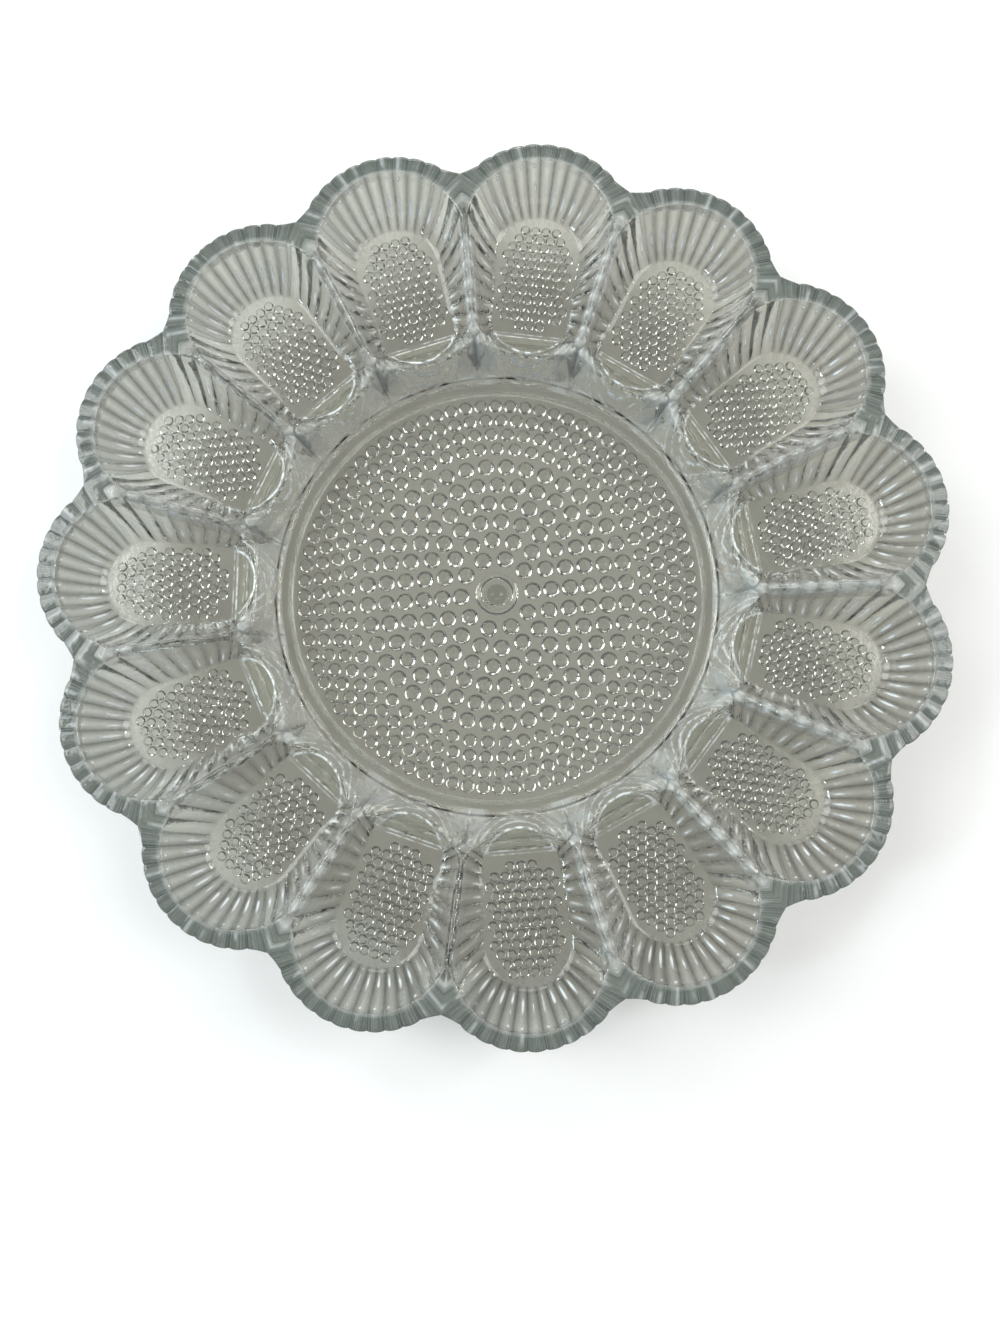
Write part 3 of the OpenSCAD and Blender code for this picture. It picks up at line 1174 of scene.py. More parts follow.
class Shade(NodeTree):
    """The tree of a material."""

    def __init__(self, name: str) -> None:
        """Starts an empty material.

        Args:
            name: the material's name.
        """
        self.material = bpy.data.materials.new(name)
        self.material.use_nodes = True
        super().__init__(self.material.node_tree)
        self.tree.nodes.clear()

    def read(self, name: str) -> Value:
        """Reads one of the mesh's own values."""
        return self.value("ShaderNodeAttribute", {}, "Fac", attribute_name=name)

    def ray(self, output: str) -> Value:
        """Reads an output of Light Path."""
        return self.value("ShaderNodeLightPath", {}, output)

    def noise(self, scale: float, detail: float, roughness: float = 0.5) -> Value:
        """Adds a noise in the object's own coordinates.

        Args:
            scale: its scale.
            detail: its detail.
            roughness: its roughness.

        Returns:
            The noise.
        """
        links = {"Vector": self.value("ShaderNodeTexCoord", {}, "Object")}
        links |= {"Scale": scale, "Detail": detail, "Roughness": roughness}
        return self.value("ShaderNodeTexNoise", links)

    def along(self, w: Value) -> Value:
        """Adds a noise along one line."""
        return self.value("ShaderNodeTexNoise", {"W": w}, noise_dimensions="1D")

    def ramp(self, value: Value, ramp: Ramp) -> Value:
        """Takes a value through a ramp."""
        links = {"Value": value, 1: ramp.low, 2: ramp.high, 3: ramp.start, 4: ramp.end}
        return self.value("ShaderNodeMapRange", links)

    def line(self, line: Line) -> Value:
        """Draws a soft line."""
        off = (self.read(line.name) - line.at).math("ABSOLUTE")
        return (1.0 - off / line.half_width).math("MAXIMUM", 0.0) * line.weight

    def lines(self, lines: Sequence[Line]) -> Value:
        """Draws soft lines, one added to the other."""
        return reduce(add, map(self.line, lines))

    def after(self, name: str, at: float, width: float) -> Value:
        """Rises from 0 to 1 where a distance passes a value, over a width beyond it."""
        return self.ramp(self.read(name), Ramp(at, at + width))


@dataclass(frozen=True)
class PressedGlass:
    """Clear soda glass: grey where it is looked through, faintly green where a ray runs far inside it, with
    painted highlights and painted shade.

    Attributes:
        ior: refractive index.
        body: colour left after the look through the plate.
        tint: colour left of that after a run of tint_run inside the glass.
        tint_run: length of that run.
        longest: length after which the colour deepens no more.
        shade: light that one surface lets on to the table.
        wave: strength of the low waves of its pressed surface.
        streak: how much painted shade darkens the lines between the flutes.
        highlight_white: colour of the painted highlights.
        moon_paint: colour painted over the flat half-moon facets, in place of the dark band that refraction
            gives them.
        land: colour painted over the thick rim: its own green, deepened with painted shade.
        low_noise: scale, detail and roughness of the low waves.
        fine_noise: those of the grain.
        wide_noise: those of the light from ridge to ridge.
        most_sheen: upper limit of the painted sheen.
        grain_bump: strength of the grain's relief, and what a hobnail adds to it.
        grain_rough: roughness that the grain gives.
        ground_rough: roughness of the foot that is ground flat.
        cusp_dull: how far the painted sheen in the valleys between the wells takes the rim's painted
            colour.
        flute_dark: how much painted shade darkens the fluted wall.
        moon_dark: how much painted shade darkens a half-moon facet.
        moon_paint_share: how strongly that painted colour covers it.
        back_light: how much lighter the painted highlight on the back of a flute is, as a share of streak.
        hob_foot: the painted shade line at the foot of a hobnail.
        dish_dark: the painted shade line along the dish's edge.
        dish_pale: the painted highlight line outside it.
        arcs: the painted highlight lines along the arc of a half-moon facet.
        over: the painted highlight line beyond its corners.
        chords: the painted highlight lines along its straight side.
        glints: the painted glints at the flutes' ends, at the crest and on the wall.
        glint_power: how narrow those are.
        glint_aside: how far they stand aside of the flute's back, as an angle of its wave.
        shine_step: noise steps to a half flute, for the thin painted highlight streaks across the rim.
        shine_power: how narrow the painted highlight streaks at the flutes' ends are.
        shine_aside: how far they stand aside of the flute's back.
        shine_paint: how strong the painted highlight streaks are.
        tone_step: noise steps to a half flute, for the tone of the rim's painted colour.
        band: where the painted pale highlight band of a ridge ends, and over what width, in mm.
        band_ribs: how much of the band is ribbed, and how much is even.
        band_grain: how much of it the grain takes, and how much is even.
    """

    ior: float = 1.5
    body: Triple = (0.81, 0.795, 0.712)
    tint: Triple = (0.74, 0.83, 0.82)
    tint_run: float = 30 * MM
    longest: float = 45 * MM
    shade: Triple = (0.53, 0.525, 0.505)
    wave: float = 0.15
    streak: float = 0.3
    highlight_white: Triple = (0.90, 0.95, 0.965)
    moon_paint: Triple = (0.42, 0.405, 0.28)
    land: Triple = (0.045, 0.066, 0.055)
    low_noise: Triple = (120.0, 1.5, 0.4)
    fine_noise: Triple = (480.0, 2.5, 0.55)
    wide_noise: Triple = (16.0, 0.0, 0.5)
    most_sheen: float = 0.9
    grain_bump: tuple[float, float] = (0.6, 2.0)
    grain_rough: Ramp = Ramp(0.35, 0.75, 0.0, 0.03)
    ground_rough: float = 0.4
    cusp_dull: float = 0.4
    flute_dark: float = 0.46
    moon_dark: float = 0.32
    moon_paint_share: float = 0.3
    back_light: float = 0.5
    hob_foot: Line = Line("hob_in", 0.1, 0.16, 0.7)
    dish_dark: Line = Line("dish_out", 0.1, 0.5, 1.5)
    dish_pale: Line = Line("dish_out", 0.9, 0.5, 1.0)
    arcs: tuple[Line, ...] = (
        Line("moon_edge", -0.1, 0.6, 1.3),
        Line("moon_edge", 3.0, 0.4, 0.7),
        Line("moon_edge", 4.6, 0.35, 0.6),
    )
    over: Line = Line("moon_edge", 1.5, 0.4, 1.2)
    chords: tuple[Line, ...] = (Line("moon_in", 0.5, 0.45, 1.1), Line("moon_in", -0.7, 0.4, 0.8))
    glints: tuple[Line, ...] = (Line("from_crest", -0.7, 0.5, 0.8), Line("from_crest", -5.5, 3.0, 1.3))
    glint_power: float = 13.0
    glint_aside: float = 0.25
    shine_step: float = 9.0
    shine_power: float = 14.0
    shine_aside: float = 0.4
    shine_paint: float = 0.8
    tone_step: float = 2.6
    band: tuple[float, float] = (1.7, 0.5)
    band_ribs: tuple[float, float] = (0.35, 0.45)
    band_grain: tuple[float, float] = (1.2, 0.4)

    def build(self) -> bpy.types.Material:
        """Builds the glass.

        Returns:
            The material.
        """
        s = Shade("pressed_glass")
        low, fine = s.noise(*self.low_noise), s.noise(*self.fine_noise)
        # painted highlights, painted fills and the rim's painted colour, as a share of the surface
        sheen_cover = self._painted_sheen(s, fine, low)
        plain, more = self.grain_bump
        relief = low + fine * (self._on_hob(s) * more + plain)
        height = {"Strength": self.wave, "Distance": MM, "Height": relief}
        surface = {
            "Base Color": self._colour(s, fine, low, sheen_cover),
            "Roughness": s.read("ground") * self.ground_rough + s.ramp(fine, self.grain_rough),
            "IOR": self.ior,
            "Transmission Weight": 1.0 - sheen_cover,
            "Normal": s.node("ShaderNodeBump", height),
        }
        glass = s.node("ShaderNodeBsdfPrincipled", surface)
        lit = s.node("ShaderNodeBsdfTransparent", {"Color": (*self.shade, 1)})
        onward = s.ray("Is Shadow Ray").math("MAXIMUM", s.ray("Is Diffuse Ray"))
        mixed = s.node("ShaderNodeMixShader", {0: onward, 1: glass, 2: lit})
        s.node("ShaderNodeOutputMaterial", {"Surface": mixed})
        return s.material

    def _colour(self, s: Shade, fine: Value, low: Value, sheen_cover: Value) -> Value:
        """The colour of the glass, of its painted highlights and shade and of its rim.

        Args:
            s: the material's tree.
            fine: the grain.
            low: the low waves.
            sheen_cover: how far painted highlights and painted fills cover the glass.

        Returns:
            The colour.
        """
        backfacing = s.value("ShaderNodeNewGeometry", {}, "Backfacing")
        runs = s.ray("Ray Length").math("MINIMUM", self.longest) * backfacing / self.tint_run
        dark = self._dark(s, low) + s.read("dim")
        # painted shade: the flute lines, the dish's edge, the hobnails' feet, the bowls, the half-moons and
        # the dim marks darken the clear colour
        toned = (1.0 - self._flute_shade_and_highlight(s) * (fine + 0.5) - dark).math("MAXIMUM", 0.0)
        first, moon = s.ray("Is Camera Ray"), self._moon(s)
        rim = s.read("cusp") * self.cusp_dull + s.read("land") * (1.0 - self._shine(s, low))
        bands = {}
        for band, tint in enumerate(self.tint):
            entered = first * (self.body[band] ** 2 - 1) + 1.0
            clear = s.math("POWER", tint**2, runs) * entered * toned
            highlight_white = self.highlight_white[band]
            cloud = rim * (self.land[band] - highlight_white) + (moon * (self.moon_paint[band] - highlight_white) + highlight_white)
            bands[band] = sheen_cover * (cloud - clear) + clear
        return s.value("ShaderNodeCombineColor", bands)

    @staticmethod
    def _on_hob(s: Shade) -> Value:
        """1 on a hobnail and 0 beside it."""
        return s.read("hob_in").math("GREATER_THAN", IN_HOB)

    @staticmethod
    def _rib(s: Shade, aside: float = 0.0) -> Value:
        """1 on the back of a flute, or a little aside of it, and 0 in the line between two."""
        return (s.read("flute_phase") * QUARTER + aside).math("COSINE").math("ABSOLUTE")

    @staticmethod
    def _moon(s: Shade) -> Value:
        """1 inside the half-moon facet at the inner end of a well, 0 elsewhere."""
        return (1.0 - s.after("moon_edge", -0.7, 0.3)) * s.after("moon_in", 0.5, 0.3) * s.read("facet")

    def _shine(self, s: Shade, low: Value) -> Value:
        """Draws short painted highlight streaks across the rim, here and there on the flutes' ends.

        Args:
            s: the material's tree.
            low: the low waves.

        Returns:
            How bright they are.
        """
        thin = s.ramp(s.along(s.read("flute_phase") * self.shine_step), Ramp(0.57, 0.67, 0.0, 0.6))
        ends = self._rib(s, self.shine_aside) ** self.shine_power
        return thin.math("MAXIMUM", ends * s.ramp(low, Ramp(0.5, 0.6, 0.0, 0.4)))

    def _dark(self, s: Shade, low: Value) -> Value:
        """Paints shade on the dish's edge, the foot of each hobnail, the bowls and the half-moon facets.

        Args:
            s: the material's tree.
            low: the low waves.

        Returns:
            How much darker the glass is there.
        """
        hob = s.line(self.hob_foot) * self._on_hob(s)
        patch = s.ramp(low, Ramp(0.42, 0.55, 0.35, 1.0))
        edge = s.line(self.dish_dark) * s.read("facet") * patch
        return hob + edge + (s.read("flute_show") * self.flute_dark + self._moon(s) * self.moon_dark)

    def _flute_shade_and_highlight(self, s: Shade) -> Value:
        """Painted shade between the flutes, below nothing on their backs, where it paints a highlight."""
        rib = self._rib(s)
        return ((1.0 - rib) ** 2.0 + rib**6.0 * -self.back_light) * s.read("flute_show") * self.streak

    def _painted_sheen(self, s: Shade, grain: Value, low: Value) -> Value:
        """How far painted sheen covers the glass: painted highlights along the edges of the facets, of the
        dish and of the flutes and on the ridges, painted fills in the valleys and half-moons, and a painted
        colour over the rim.

        Args:
            s: the material's tree.
            grain: the grain.
            low: the low waves.

        Returns:
            0 where it is clear, up to most_sheen.
        """
        lines = self._facet_highlights(s, low) * s.ramp(grain, Ramp(0.42, 0.58, 0.15, 1.1))
        back = self._rib(s, self.glint_aside) ** self.glint_power
        ends = s.lines(self.glints) * s.read("flute_show") * back * s.ramp(low, Ramp(0.4, 0.54, 0.3, 1.2))
        # painted glints and sheen in the valleys between the wells, and the painted fill of the half-moons
        flat = s.read("cusp") * s.ramp(low, Ramp(0.45, 0.58, 0.3, 0.6)) + self._moon(s) * self.moon_paint_share
        tone = s.ramp(s.along(s.read("flute_phase") * self.tone_step), Ramp(0.35, 0.65, 0.68, 0.92))
        bright = self._shine(s, low) * (s.ramp(grain, Ramp(0.47, 0.57)) * self.shine_paint)
        # the rim's own green deepened with painted shade, with its painted highlight streaks
        rim = s.read("land") * (tone + bright)
        return (lines + ends + self._ridge_highlights(s, grain) + flat + rim).math("MINIMUM", self.most_sheen)

    def _facet_highlights(self, s: Shade, low: Value) -> Value:
        """Paints highlight lines round the half-moons and along the dish's edge.

        Args:
            s: the material's tree.
            low: the low waves.

        Returns:
            How strong the painted highlights are.
        """
        arcs = s.lines(self.arcs) * s.after("moon_in", -0.5, 0.3)
        over = s.line(self.over) * s.after("moon_in", 6.6, 0.8)
        chords = s.lines(self.chords) * (1.0 - s.after("moon_edge", 0.6, 1.2))
        pale = s.line(self.dish_pale) * s.ramp(low, Ramp(0.45, 0.6, 0.8, 0.0))
        return (arcs + over + chords + pale) * s.read("facet")

    def _ridge_highlights(self, s: Shade, grain: Value) -> Value:
        """Draws the painted pale ribbed highlight bands on the ridges between the wells.

        Args:
            s: the material's tree.
            grain: the grain.

        Returns:
            How strong the painted highlights are.
        """
        (ribbed, even), (grainy, plain) = self.band_ribs, self.band_grain
        band = 1.0 - s.after("from_border", *self.band)
        ribs = self._rib(s) ** 2.0 * ribbed + even
        lit = s.ramp(s.noise(*self.wide_noise), Ramp(0.44, 0.56, 0.12, 1.0)) * (grain * grainy + plain)
        shown = s.read("flute_show") - s.read("land")
        return (band * ribs * lit * shown).math("MAXIMUM", 0.0)


@dataclass(frozen=True)
class PaleFloor:
    """A plain white table that keeps the shadow."""

    colour: Triple = (0.86, 0.855, 0.84)
    glow: float = 0.14
    noise: tuple[float, float] = (260.0, 3.0)
    grain: Ramp = Ramp(0.0, 1.0, 0.985, 1.0)

    def build(self) -> bpy.types.Material:
        """Builds the table's finish.

        Returns:
            The material.
        """
        s = Shade("pale_table")
        base = s.node("ShaderNodeMix", {6: (0, 0, 0, 1), 7: (*self.colour, 1)}, data_type="RGBA")
        s.connect(s.ramp(s.noise(*self.noise), self.grain), base.inputs[0])
        cloth = s.node("ShaderNodeBsdfDiffuse", {"Color": Value(s, base.outputs[2])})
        seen = s.ray("Is Glossy Ray").math("MAXIMUM", s.ray("Is Transmission Ray"))
        seen = s.ray("Is Camera Ray").math("MAXIMUM", seen)
        glow = s.node("ShaderNodeEmission", {"Color": (1, 1, 1, 1), "Strength": seen * self.glow})
        both = s.node("ShaderNodeAddShader", {0: cloth, 1: glow})
        s.node("ShaderNodeOutputMaterial", {"Surface": both})
        return s.material


# ---------------------------------------------------------------- pieces


class Pressing:
    """What both kinds of piece of the pressing share."""

    @staticmethod
    def dress(piece: bpy.types.Object, *nodes: str) -> None:
        """Ties a piece to the nodes of the model that it stands for.

        Args:
            piece: the piece.
            nodes: names of the nodes.
        """
        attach(piece, "root")
        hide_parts(*nodes)
        LOG.info("piece %s: %d faces", piece.name, len(piece.data.polygons))


@dataclass
class EggWell(Pressing):
    """One egg well: bowl, ridges, rim, flutes and the hobnails under its floor."""

    plan: WellPlan
    hobs: HobSizes
    field: HobField
    glass: bpy.types.Material
    ridge_show: float = 0.6
    # painted shade on the well's floor
    floor_dim: float = 0.24
    cusp_from: float = 0.5
    cusp_over: float = 0.35
    crest_ease: float = 1 * MM
    land_ease: float = 0.8 * MM
    land_least: float = 1.6 * MM
    land_over: float = 3 * MM
    top_ripple: float = 1.2 * MM
    under_ripple: float = 2.5 * MM

    def __post_init__(self) -> None:
        """Makes the well's mesh once, for all fifteen places."""
        self.faces = WellFaces(self.plan)
        self.mesh = self._build()

    @staticmethod
    def _loop(half: Array) -> Array:
        """Closes the loop of rays.

        Args:
            half: points of its right half, ray by ray.

        Returns:
            Points of the whole loop.
        """
        left = half[1:-1][::-1].copy()
        left[..., 0] *= -1
        return np.concatenate([half, left])

    def seam(self, under: bool) -> Array:
        """Finds the closed seam between the wells and the dish.

        Args:
            under: on the lower face instead of the upper one.

        Returns:
            The seam's points, well after well, from the right of the first.
        """
        grid, end = (self.faces.under, 0) if under else (self.faces.top, -1)
        ends = np.array([g[end] for g, r in zip(grid, self.faces.rays) if r.kind is Kind.DISH])
        left = ends[:-1][::-1].copy()
        left[:, 0] *= -1
        arc = np.concatenate([ends, left])[:-1]
        seam = []
        for i in range(self.plan.plate.wells):
            turn = -2 * self.plan.plate.sector * i
            c, s = math.cos(turn), math.sin(turn)
            spun = arc.copy()
            spun[:, 0], spun[:, 1] = arc[:, 0] * c + arc[:, 1] * s, -arc[:, 0] * s + arc[:, 1] * c
            seam.append(spun)
        return np.concatenate(seam)

    def hob_places(self) -> list[tuple[Array, float]]:
        """Works out the centres of the hobnails, in staggered rows of an oval field.

        Returns:
            The centres, each with its size as a share of the largest.
        """
        w, f = self.plan.well, self.field
        reach = w.floor_r + w.under_floor_out - self.hobs.diameter / 2 - f.gap
        mouth_y = float(self.plan.mouth_c[1])
        row_step, first = f.step * math.sin(math.pi / 3), w.floor_end_y + f.first
        places = []
        for row in range(int((mouth_y + reach - first) / row_step) + 1):
            y = first + row * row_step
            if y > mouth_y:
                room = math.sqrt(max(0.0, reach**2 - (y - mouth_y) ** 2))
            else:
                in_share = 1 - (y - w.floor_end_y) / (mouth_y - w.floor_end_y)
                room = reach - (w.floor_r - w.floor_end_w) * in_share
            low = max(0.0, (w.oval_y - y) / (w.oval_y - w.floor_end_y - f.first / 2))
            room = min(room, reach * max(0.0, 1 - low**f.oval_in) ** f.oval_out)
            for col in range(-f.half_row, f.half_row + 1):
                x = (col + row % 2 / 2) * f.step
                if abs(x) <= room:
                    places.append((np.array([x, y]), 1.0))
        return places

    def _build(self) -> bpy.types.Mesh:
        """Builds the mesh of one well.

        Returns:
            The mesh, for the first place of all.
        """
        rays, top, under = self.faces.rays, self._loop(self.faces.top), self._loop(self.faces.under)
        count, tops, unders = len(top), top.shape[1], under.shape[1]
        index = [i if i < len(rays) else 2 * len(rays) - 2 - i for i in range(count)]
        rim = [rays[i].kind is Kind.RIM for i in index]
        base = count * tops
        faces: list[Face] = []
        for i in range(count):
            j = (i + 1) % count
            for start, points in ((0, tops), (base, unders)):
                a, b = start + i * points, start + j * points
                faces += [(a + n, b + n, b + n + 1, a + n + 1) for n in range(points - 1)]
            if rim[i] and rim[j]:
                edge = ((i + 1) * tops - 1, (j + 1) * tops - 1)
                faces.append((*edge, base + j * unders, base + i * unders))
        faces.append(tuple(i * tops for i in reversed(range(count))))
        layers, inward = self._marks(index, top, under)
        points = np.concatenate([top.reshape(-1, 3), under.reshape(-1, 3)])
        mesh = make_mesh("well", points, faces, **layers)
        mesh.polygons[-1].use_smooth = False
        mesh.attributes.new("edge_in", "FLOAT_VECTOR", "POINT").data.foreach_set("vector", inward)
        fluted = FluteTree(self.glass).flute(mesh, self.plan.flutes)
        level = self.plan.well.under_z
        floor = HobTree(self.glass).stud([under[:, -1]], self.hob_places(), self.hobs, level)
        return join_meshes("well_glass", [fluted, floor], self.glass)

    def _marks(self, index: list[int], top: Array, under: Array) -> tuple[Layers, list[float]]:
        """Finds where the flutes and the edges run, for the flutes' tree and the glass.

        Args:
            index: the ray of the right half that each ray of the loop is, or mirrors.
            top: points of the upper face, ray by ray.
            under: points of the lower face.

        Returns:
            The attributes by name, and the way that each point of the rim moves inward.
        """
        layers: Layers = {}
        inward: list[float] = []
        for grid, is_top, ripple in ((top, True, self.top_ripple), (under, False, self.under_ripple)):
            for i, line in enumerate(grid):
                ray = self.faces.rays[index[i]]
                flip = np.array([-1.0 if i >= len(self.faces.rays) else 1.0, 1.0])
                way, border = ray.way * flip, ray.border * flip
                for p in line:
                    back = max(0.0, float((border - p[:2]) @ way))
                    marks = self._top_marks(ray, p, back) if is_top else self._under_marks(ray, back)
                    for name, value in marks.items():
                        layers.setdefault(name, []).append(value)
                    edge = smooth(1 - back / ripple) if ray.kind is Kind.RIM else 0.0
                    inward += [-way[0] * edge, -way[1] * edge, 0.0]
        return layers, inward

    def _up_wall(self, ray: Ray, back: float) -> float:
        """How far up the wall a point is: 0 at the floor and 1 where the flutes have their depth."""
        return smooth((ray.reach - back) / self.plan.flutes.fade_run)

    def _shown(self, ray: Ray, back: float) -> float:
        """How strongly the painted flute shade and highlights show at a point."""
        return ray.fluted * self._up_wall(ray, back) * (self.ridge_show if ray.kind is Kind.RIDGE else 1.0)

    def _top_marks(self, ray: Ray, p: Array, back: float) -> dict[str, float]:
        """Values of a point of the upper face, its distances in millimetres.

        Args:
            ray: the ray that it lies on.
            p: the point.
            back: its distance from the border.

        Returns:
            The values by name.
        """
        w, up_wall, past = self.plan.well, self._up_wall(ray, back), ray.reach - back - ray.bowl_end
        outer = ray.kind in (Kind.RIM, Kind.RIDGE)
        wide = smooth((ray.reach - ray.bowl_end - self.land_least) / self.land_over) if outer else 0.0
        return {
            "flute_phase": ray.phase,
            "flute_lift": -self.plan.flutes.top_share * ray.fluted * up_wall,
            "flute_show": self._shown(ray, back),
            "facet": 1 - ray.fluted,
            "cusp": smooth(past / self.crest_ease) * self._cusp_share(ray),
            "moon_edge": w.moon_edge(p[0], p[1]) / MM,
            "moon_in": (w.floor_end_y - p[1]) / MM,
            "from_crest": past / MM,
            "from_border": back / MM,
            "dish_out": (math.hypot(p[0], p[1]) - self.plan.plate.dish_r) / MM,
            "land": smooth(past / self.land_ease) * wide,
            # painted shade on the well's floor, fading up the wall
            "dim": self.floor_dim * (1 - up_wall),
        }

    def _under_marks(self, ray: Ray, back: float) -> dict[str, float]:
        """Values of a point of the lower face, as _top_marks has them for the upper one.

        Args:
            ray: the ray that it lies on.
            back: its distance from the border.

        Returns:
            The values by name.
        """
        run = max(0.0, ray.reach - back - self.plan.well.under_floor_out)
        marks = dict.fromkeys(("facet", "cusp", "land", "dim"), 0.0)
        marks |= dict.fromkeys(("moon_edge", "from_crest", "dish_out"), FAR)
        marks |= {"moon_in": -FAR, "from_border": back / MM, "flute_phase": ray.phase}
        lift = ray.fluted * smooth(run / self.plan.flutes.fade_run)
        return marks | {"flute_lift": lift, "flute_show": self._shown(ray, back)}

    def _cusp_share(self, ray: Ray) -> float:
        """Works out how near a ray runs to the valley between two wells.

        Args:
            ray: the ray.

        Returns:
            The nearness, from 0 to 1.
        """
        if ray.kind is Kind.CUSP:
            return 1.0
        if ray.kind is not Kind.DISH:
            return 0.0
        return smooth((ray.aside / self.plan.plate.sector - self.cusp_from) / self.cusp_over)

    def place(self, number: int) -> bpy.types.Object:
        """Sets a copy of the well at its place round the plate.

        Args:
            number: place of the well, from 1 at the front.

        Returns:
            The piece.
        """
        mesh = self.mesh.copy()
        turn = math.pi + 2 * self.plan.plate.sector * (number - 1)
        mesh.transform(Matrix.Rotation(turn, 4, "Z"))
        return add_object(f"glass_well_{number:02d}", mesh)


@dataclass
class CentreDish(Pressing):
    """The round dish: its floor, foot ring, button and rings of hobnails."""

    plate: PlateSizes
    hobs: HobSizes
    rings: tuple[RingSizes, ...]
    glass: bpy.types.Material
    foot_out_r: float = 72.575 * MM
    foot_w: float = 4 * MM
    foot_rest_w: float = 2 * MM
    foot_run: float = 2.6 * MM
    foot_round: float = 0.35 * MM
    foot_corner: Triple = (0.2, 0.3, 0.25)
    button_r: float = 4.6 * MM
    button_h: float = 1.9 * MM
    button_power: float = 2.3
    # painted shade in the middle of the lens
    button_dim: float = 0.5
    button_dim_share: float = 0.75
    ring_r: float = 7.2 * MM
    ring_w: float = 2.3 * MM
    ring_h: float = 0.95 * MM
    ring_power: float = 1.25
    foot_steps: int = 9
    button_steps: int = 14
    ring_steps: int = 13

    def build(self, top_seam: Array, under_seam: Array) -> bpy.types.Object:
        """Builds the dish.

        Args:
            top_seam: points where the upper face meets the wells.
            under_seam: points where the lower face meets them.

        Returns:
            The piece.
        """
        around = range(len(top_seam))
        face = tuple(around) if ngon_area(top_seam) > 0 else tuple(reversed(around))
        top = make_mesh("dish_top", top_seam, [face])
        top.polygons[0].use_smooth = False
        foot, inner = self._foot(under_seam)
        button, hole = self._button()
        places = [place for group in self.rings for place in group.places()]
        under = HobTree(self.glass).stud([inner, hole], places, self.hobs, self.plate.dish_under_z)
        mesh = join_meshes("dish_glass", [top, foot, under, button], self.glass)
        mesh.transform(Matrix.Rotation(math.pi, 4, "Z"))
        return add_object("glass_dish", mesh)

    def _button(self, sides: int = 64) -> tuple[bpy.types.Mesh, Array]:
        """Builds the lens in the middle with the ring round it.

        Args:
            sides: points round it.

        Returns:
            The mesh, and the outline of the hole that it fills.
        """
        level = self.plate.dish_under_z
        profile = []
        for t in np.linspace(0, 1, self.ring_steps):
            drop = self.ring_h * (1 - abs(2 * t - 1) ** self.ring_power)
            profile.append((self.ring_r - self.ring_w * t, level - drop))
        for share in np.linspace(1, 0, self.button_steps)[:-1]:
            profile.append((self.button_r * share, level - self.button_h * (1 - share**self.button_power)))
        verts = [(r * x, r * y, z) for r, z in profile for x, y in circle_ways(sides)]
        faces, last = ring_faces(len(profile), sides), len(verts) - sides
        verts.append((0.0, 0.0, level - self.button_h))
        faces += [(last + i, len(verts) - 1, last + (i + 1) % sides) for i in range(sides)]
        # painted shade in the middle of the lens
        dim_r = self.button_dim_share * self.button_r
        dim = [self.button_dim if math.hypot(v[0], v[1]) < dim_r else 0.0 for v in verts]
        return make_mesh("button", verts, faces, dim=dim), np.array(verts[:sides])[:, :2]

    def _foot(self, seam: Array) -> tuple[bpy.types.Mesh, Array]:
        """Builds the foot ring.

        Args:
            seam: points where the lower face meets the wells.

        Returns:
            The mesh, and its inner outline on the floor's underside.
        """
        slope, soft = (self.foot_w - self.foot_rest_w) / 2, self.foot_round
        z, rest = self.plate.dish_under_z, self.foot_out_r - slope
        out, back, up = self.foot_corner
        profile = [(0, z), (rest + slope * out, soft), (rest - soft * back, soft * up), (rest - soft, 0.0)]
        for t in np.linspace(0, 1, self.foot_steps):
            profile.append((rest - self.foot_rest_w - t * self.foot_run, z * smooth(t)))
        ways, n = seam[:, :2] / np.linalg.norm(seam[:, :2], axis=1)[:, None], len(seam)
        rings = [seam] + [np.column_stack([ways * r, np.full(n, level)]) for r, level in profile[1:]]
        faces = ring_faces(len(rings), n)
        if ngon_area(seam) <= 0:
            faces = [tuple(reversed(f)) for f in faces]
        ground = [float(0 < k < len(rings) - 1) for k in range(len(rings)) for _ in range(n)]
        return make_mesh("foot", np.concatenate(rings), faces, ground=ground), rings[-1]


# ---------------------------------------------------------------- studio


@dataclass(frozen=True)
class SoftLamp:
    """A soft rectangular lamp.

    Attributes:
        name: its name.
        place: where it hangs.
        size: its width and height.
        power: its light, in watts.
        colour: its colour.
        aim: the point that it faces.
    """

    name: str
    place: Triple
    size: tuple[float, float]
    power: float
    colour: Triple
    aim: Triple = (0, 0, 0.02)

    def build(self) -> None:
        """Hangs the lamp."""
        data = bpy.data.lights.new(self.name, "AREA")
        data.shape = "RECTANGLE"
        data.size, data.size_y = self.size
        data.energy = self.power
        data.color = self.colour
        lamp = add_object(self.name, data)
        lamp.location = self.place
        lamp.rotation_euler = (Vector(self.aim) - lamp.location).to_track_quat("-Z", "Y").to_euler()
        LOG.info("lamp %s", self.name)


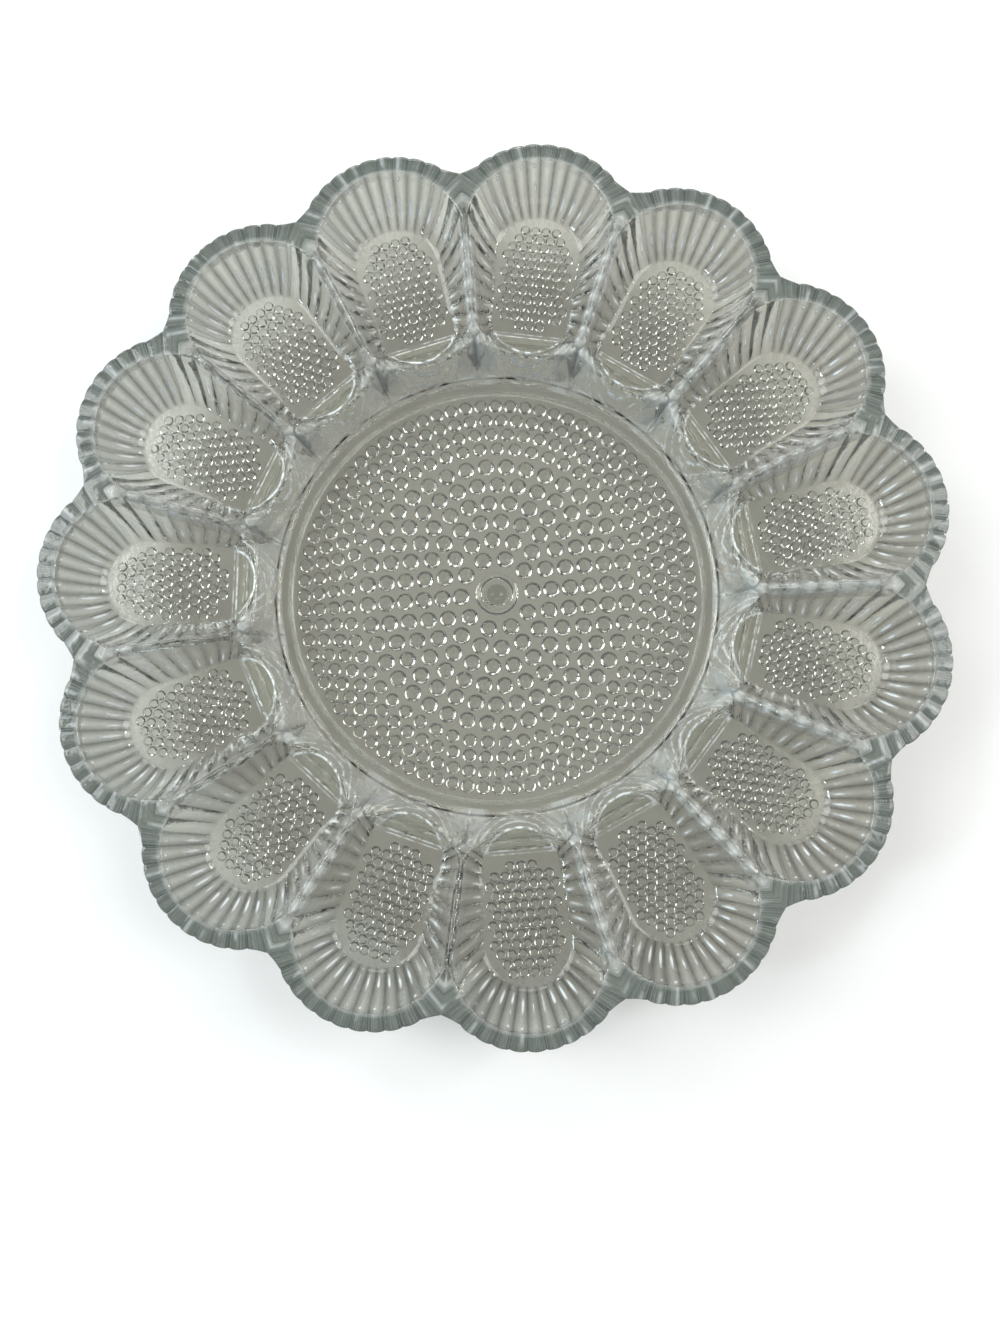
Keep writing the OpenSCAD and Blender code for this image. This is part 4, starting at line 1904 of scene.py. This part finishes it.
@dataclass(frozen=True)
class Studio:
    """The table, the lamps, the room's light and the camera of the photograph."""

    lamps: tuple[SoftLamp, ...]
    room: Triple = (0.17, 0.18, 0.19)
    turn: float = math.radians(-5)
    camera_at: Triple = (4.4 * MM, -58.4 * MM, 346 * MM)
    camera_aim: Triple = (1.3 * MM, -27 * MM, 32 * MM)
    focal_px: float = 1050
    frame_px: tuple[int, int] = (1000, 1333)
    sensor: float = 36
    clip: tuple[float, float] = (0.01, 50)
    table_r: float = 2.2
    bend_r: float = 0.45
    table_top: float = 0.7
    bend_steps: int = 9

    def build(self) -> None:
        """Builds all of it."""
        self._table()
        for lamp in self.lamps:
            lamp.build()
        self._room()
        self._camera()
        bpy.context.scene.view_settings.view_transform = "Standard"

    def _table(self, sides: int = 96) -> None:
        """Builds the table with its edge curved up all round, as a white sweep.

        Args:
            sides: points round it.
        """
        rings = [(self.table_r / 2, 0.0)]
        for a in np.linspace(0, QUARTER, self.bend_steps):
            rings.append((self.table_r + self.bend_r * math.sin(a), self.bend_r * (1 - math.cos(a))))
        rings.append((self.table_r + self.bend_r, self.table_top))
        verts = [(r * x, r * y, z) for r, z in rings for x, y in circle_ways(sides)]
        mesh = bpy.data.meshes.new("table")
        mesh.from_pydata(verts, [], [tuple(range(sides)), *ring_faces(len(rings), sides)])
        mesh.materials.append(PaleFloor().build())
        add_object("table", mesh)

    def _room(self) -> None:
        """Sets the even light of the room."""
        world = bpy.data.worlds.new("room")
        world.use_nodes = True
        back = world.node_tree.nodes["Background"]
        back.inputs["Color"].default_value = (*self.room, 1)
        back.inputs["Strength"].default_value = 1.0
        bpy.context.scene.world = world

    def _camera(self) -> None:
        """Sets up the camera of the photograph."""
        data = bpy.data.cameras.new("camera")
        data.sensor_fit = "AUTO"
        data.sensor_width = self.sensor
        data.lens = self.focal_px * self.sensor / max(self.frame_px)
        data.clip_start, data.clip_end = self.clip
        turn = Matrix.Rotation(self.turn, 3, "Z")
        at, aim = turn @ Vector(self.camera_at), turn @ Vector(self.camera_aim)
        back = (at - aim).normalized()
        right = (turn @ Vector((0, 1, 0))).cross(back).normalized()
        pose = Matrix((right, back.cross(right), back)).transposed().to_4x4()
        pose.translation = at
        camera = add_object("camera", data)
        camera.matrix_world = pose
        bpy.context.scene.camera = camera


LAMPS = (
    SoftLamp("left_panel", (-1.55, 0.65, 1.6), (1.0, 1.7), 29.0, (0.97, 1.0, 1.0)),
    SoftLamp("right_panel", (1.4, 0.15, 1.55), (0.9, 1.4), 18.0, (1.0, 0.985, 0.96)),
    SoftLamp("back_panel", (0.1, 1.8, 1.4), (1.3, 0.65), 10.5, (1.0, 0.99, 0.97)),
    SoftLamp("left_window", (-1.2, -0.2, 1.0), (0.24, 0.2), 6.0, (0.74, 0.91, 1.0)),
    SoftLamp("back_window", (-0.8, 1.3, 1.1), (0.2, 0.18), 4.5, (0.80, 0.93, 1.0)),
    SoftLamp("right_window", (1.25, 0.45, 1.05), (0.16, 0.16), 3.6, (1.0, 0.98, 0.94)),
)
WELL_HOBS = HobSizes(3.3 * MM, 1.2 * MM, 12, 4)
DISH_HOBS = HobSizes(5.8 * MM, 2.0 * MM, 16, 5)
DISH_RINGS = (
    RingSizes(6, 11.9 * MM, 6.2 * MM, 10, 6, 1.0),
    RingSizes(4, 49.1 * MM, 4.9 * MM, 53, 9, 0.81),
)


def main() -> None:
    """Builds the pieces in order, then the studio."""
    logging.basicConfig(level=logging.INFO, format="%(message)s")
    plate = PlateSizes()
    glass = PressedGlass().build()
    plan = WellPlan(plate, WellSizes(), FluteSizes(), MeshSteps())
    well = EggWell(plan, WELL_HOBS, HobField(), glass)
    for number in range(1, plate.wells + 1):
        well.dress(well.place(number), f"egg_well_{number:02d}", f"well_hobnails_{number:02d}")
    dish = CentreDish(plate, DISH_HOBS, DISH_RINGS, glass)
    piece = dish.build(well.seam(under=False), well.seam(under=True))
    dish.dress(piece, "centre_dish", "foot_ring", "centre_button", "dish_hobnails")
    Studio(LAMPS).build()


if __name__ == "__main__":
    main()
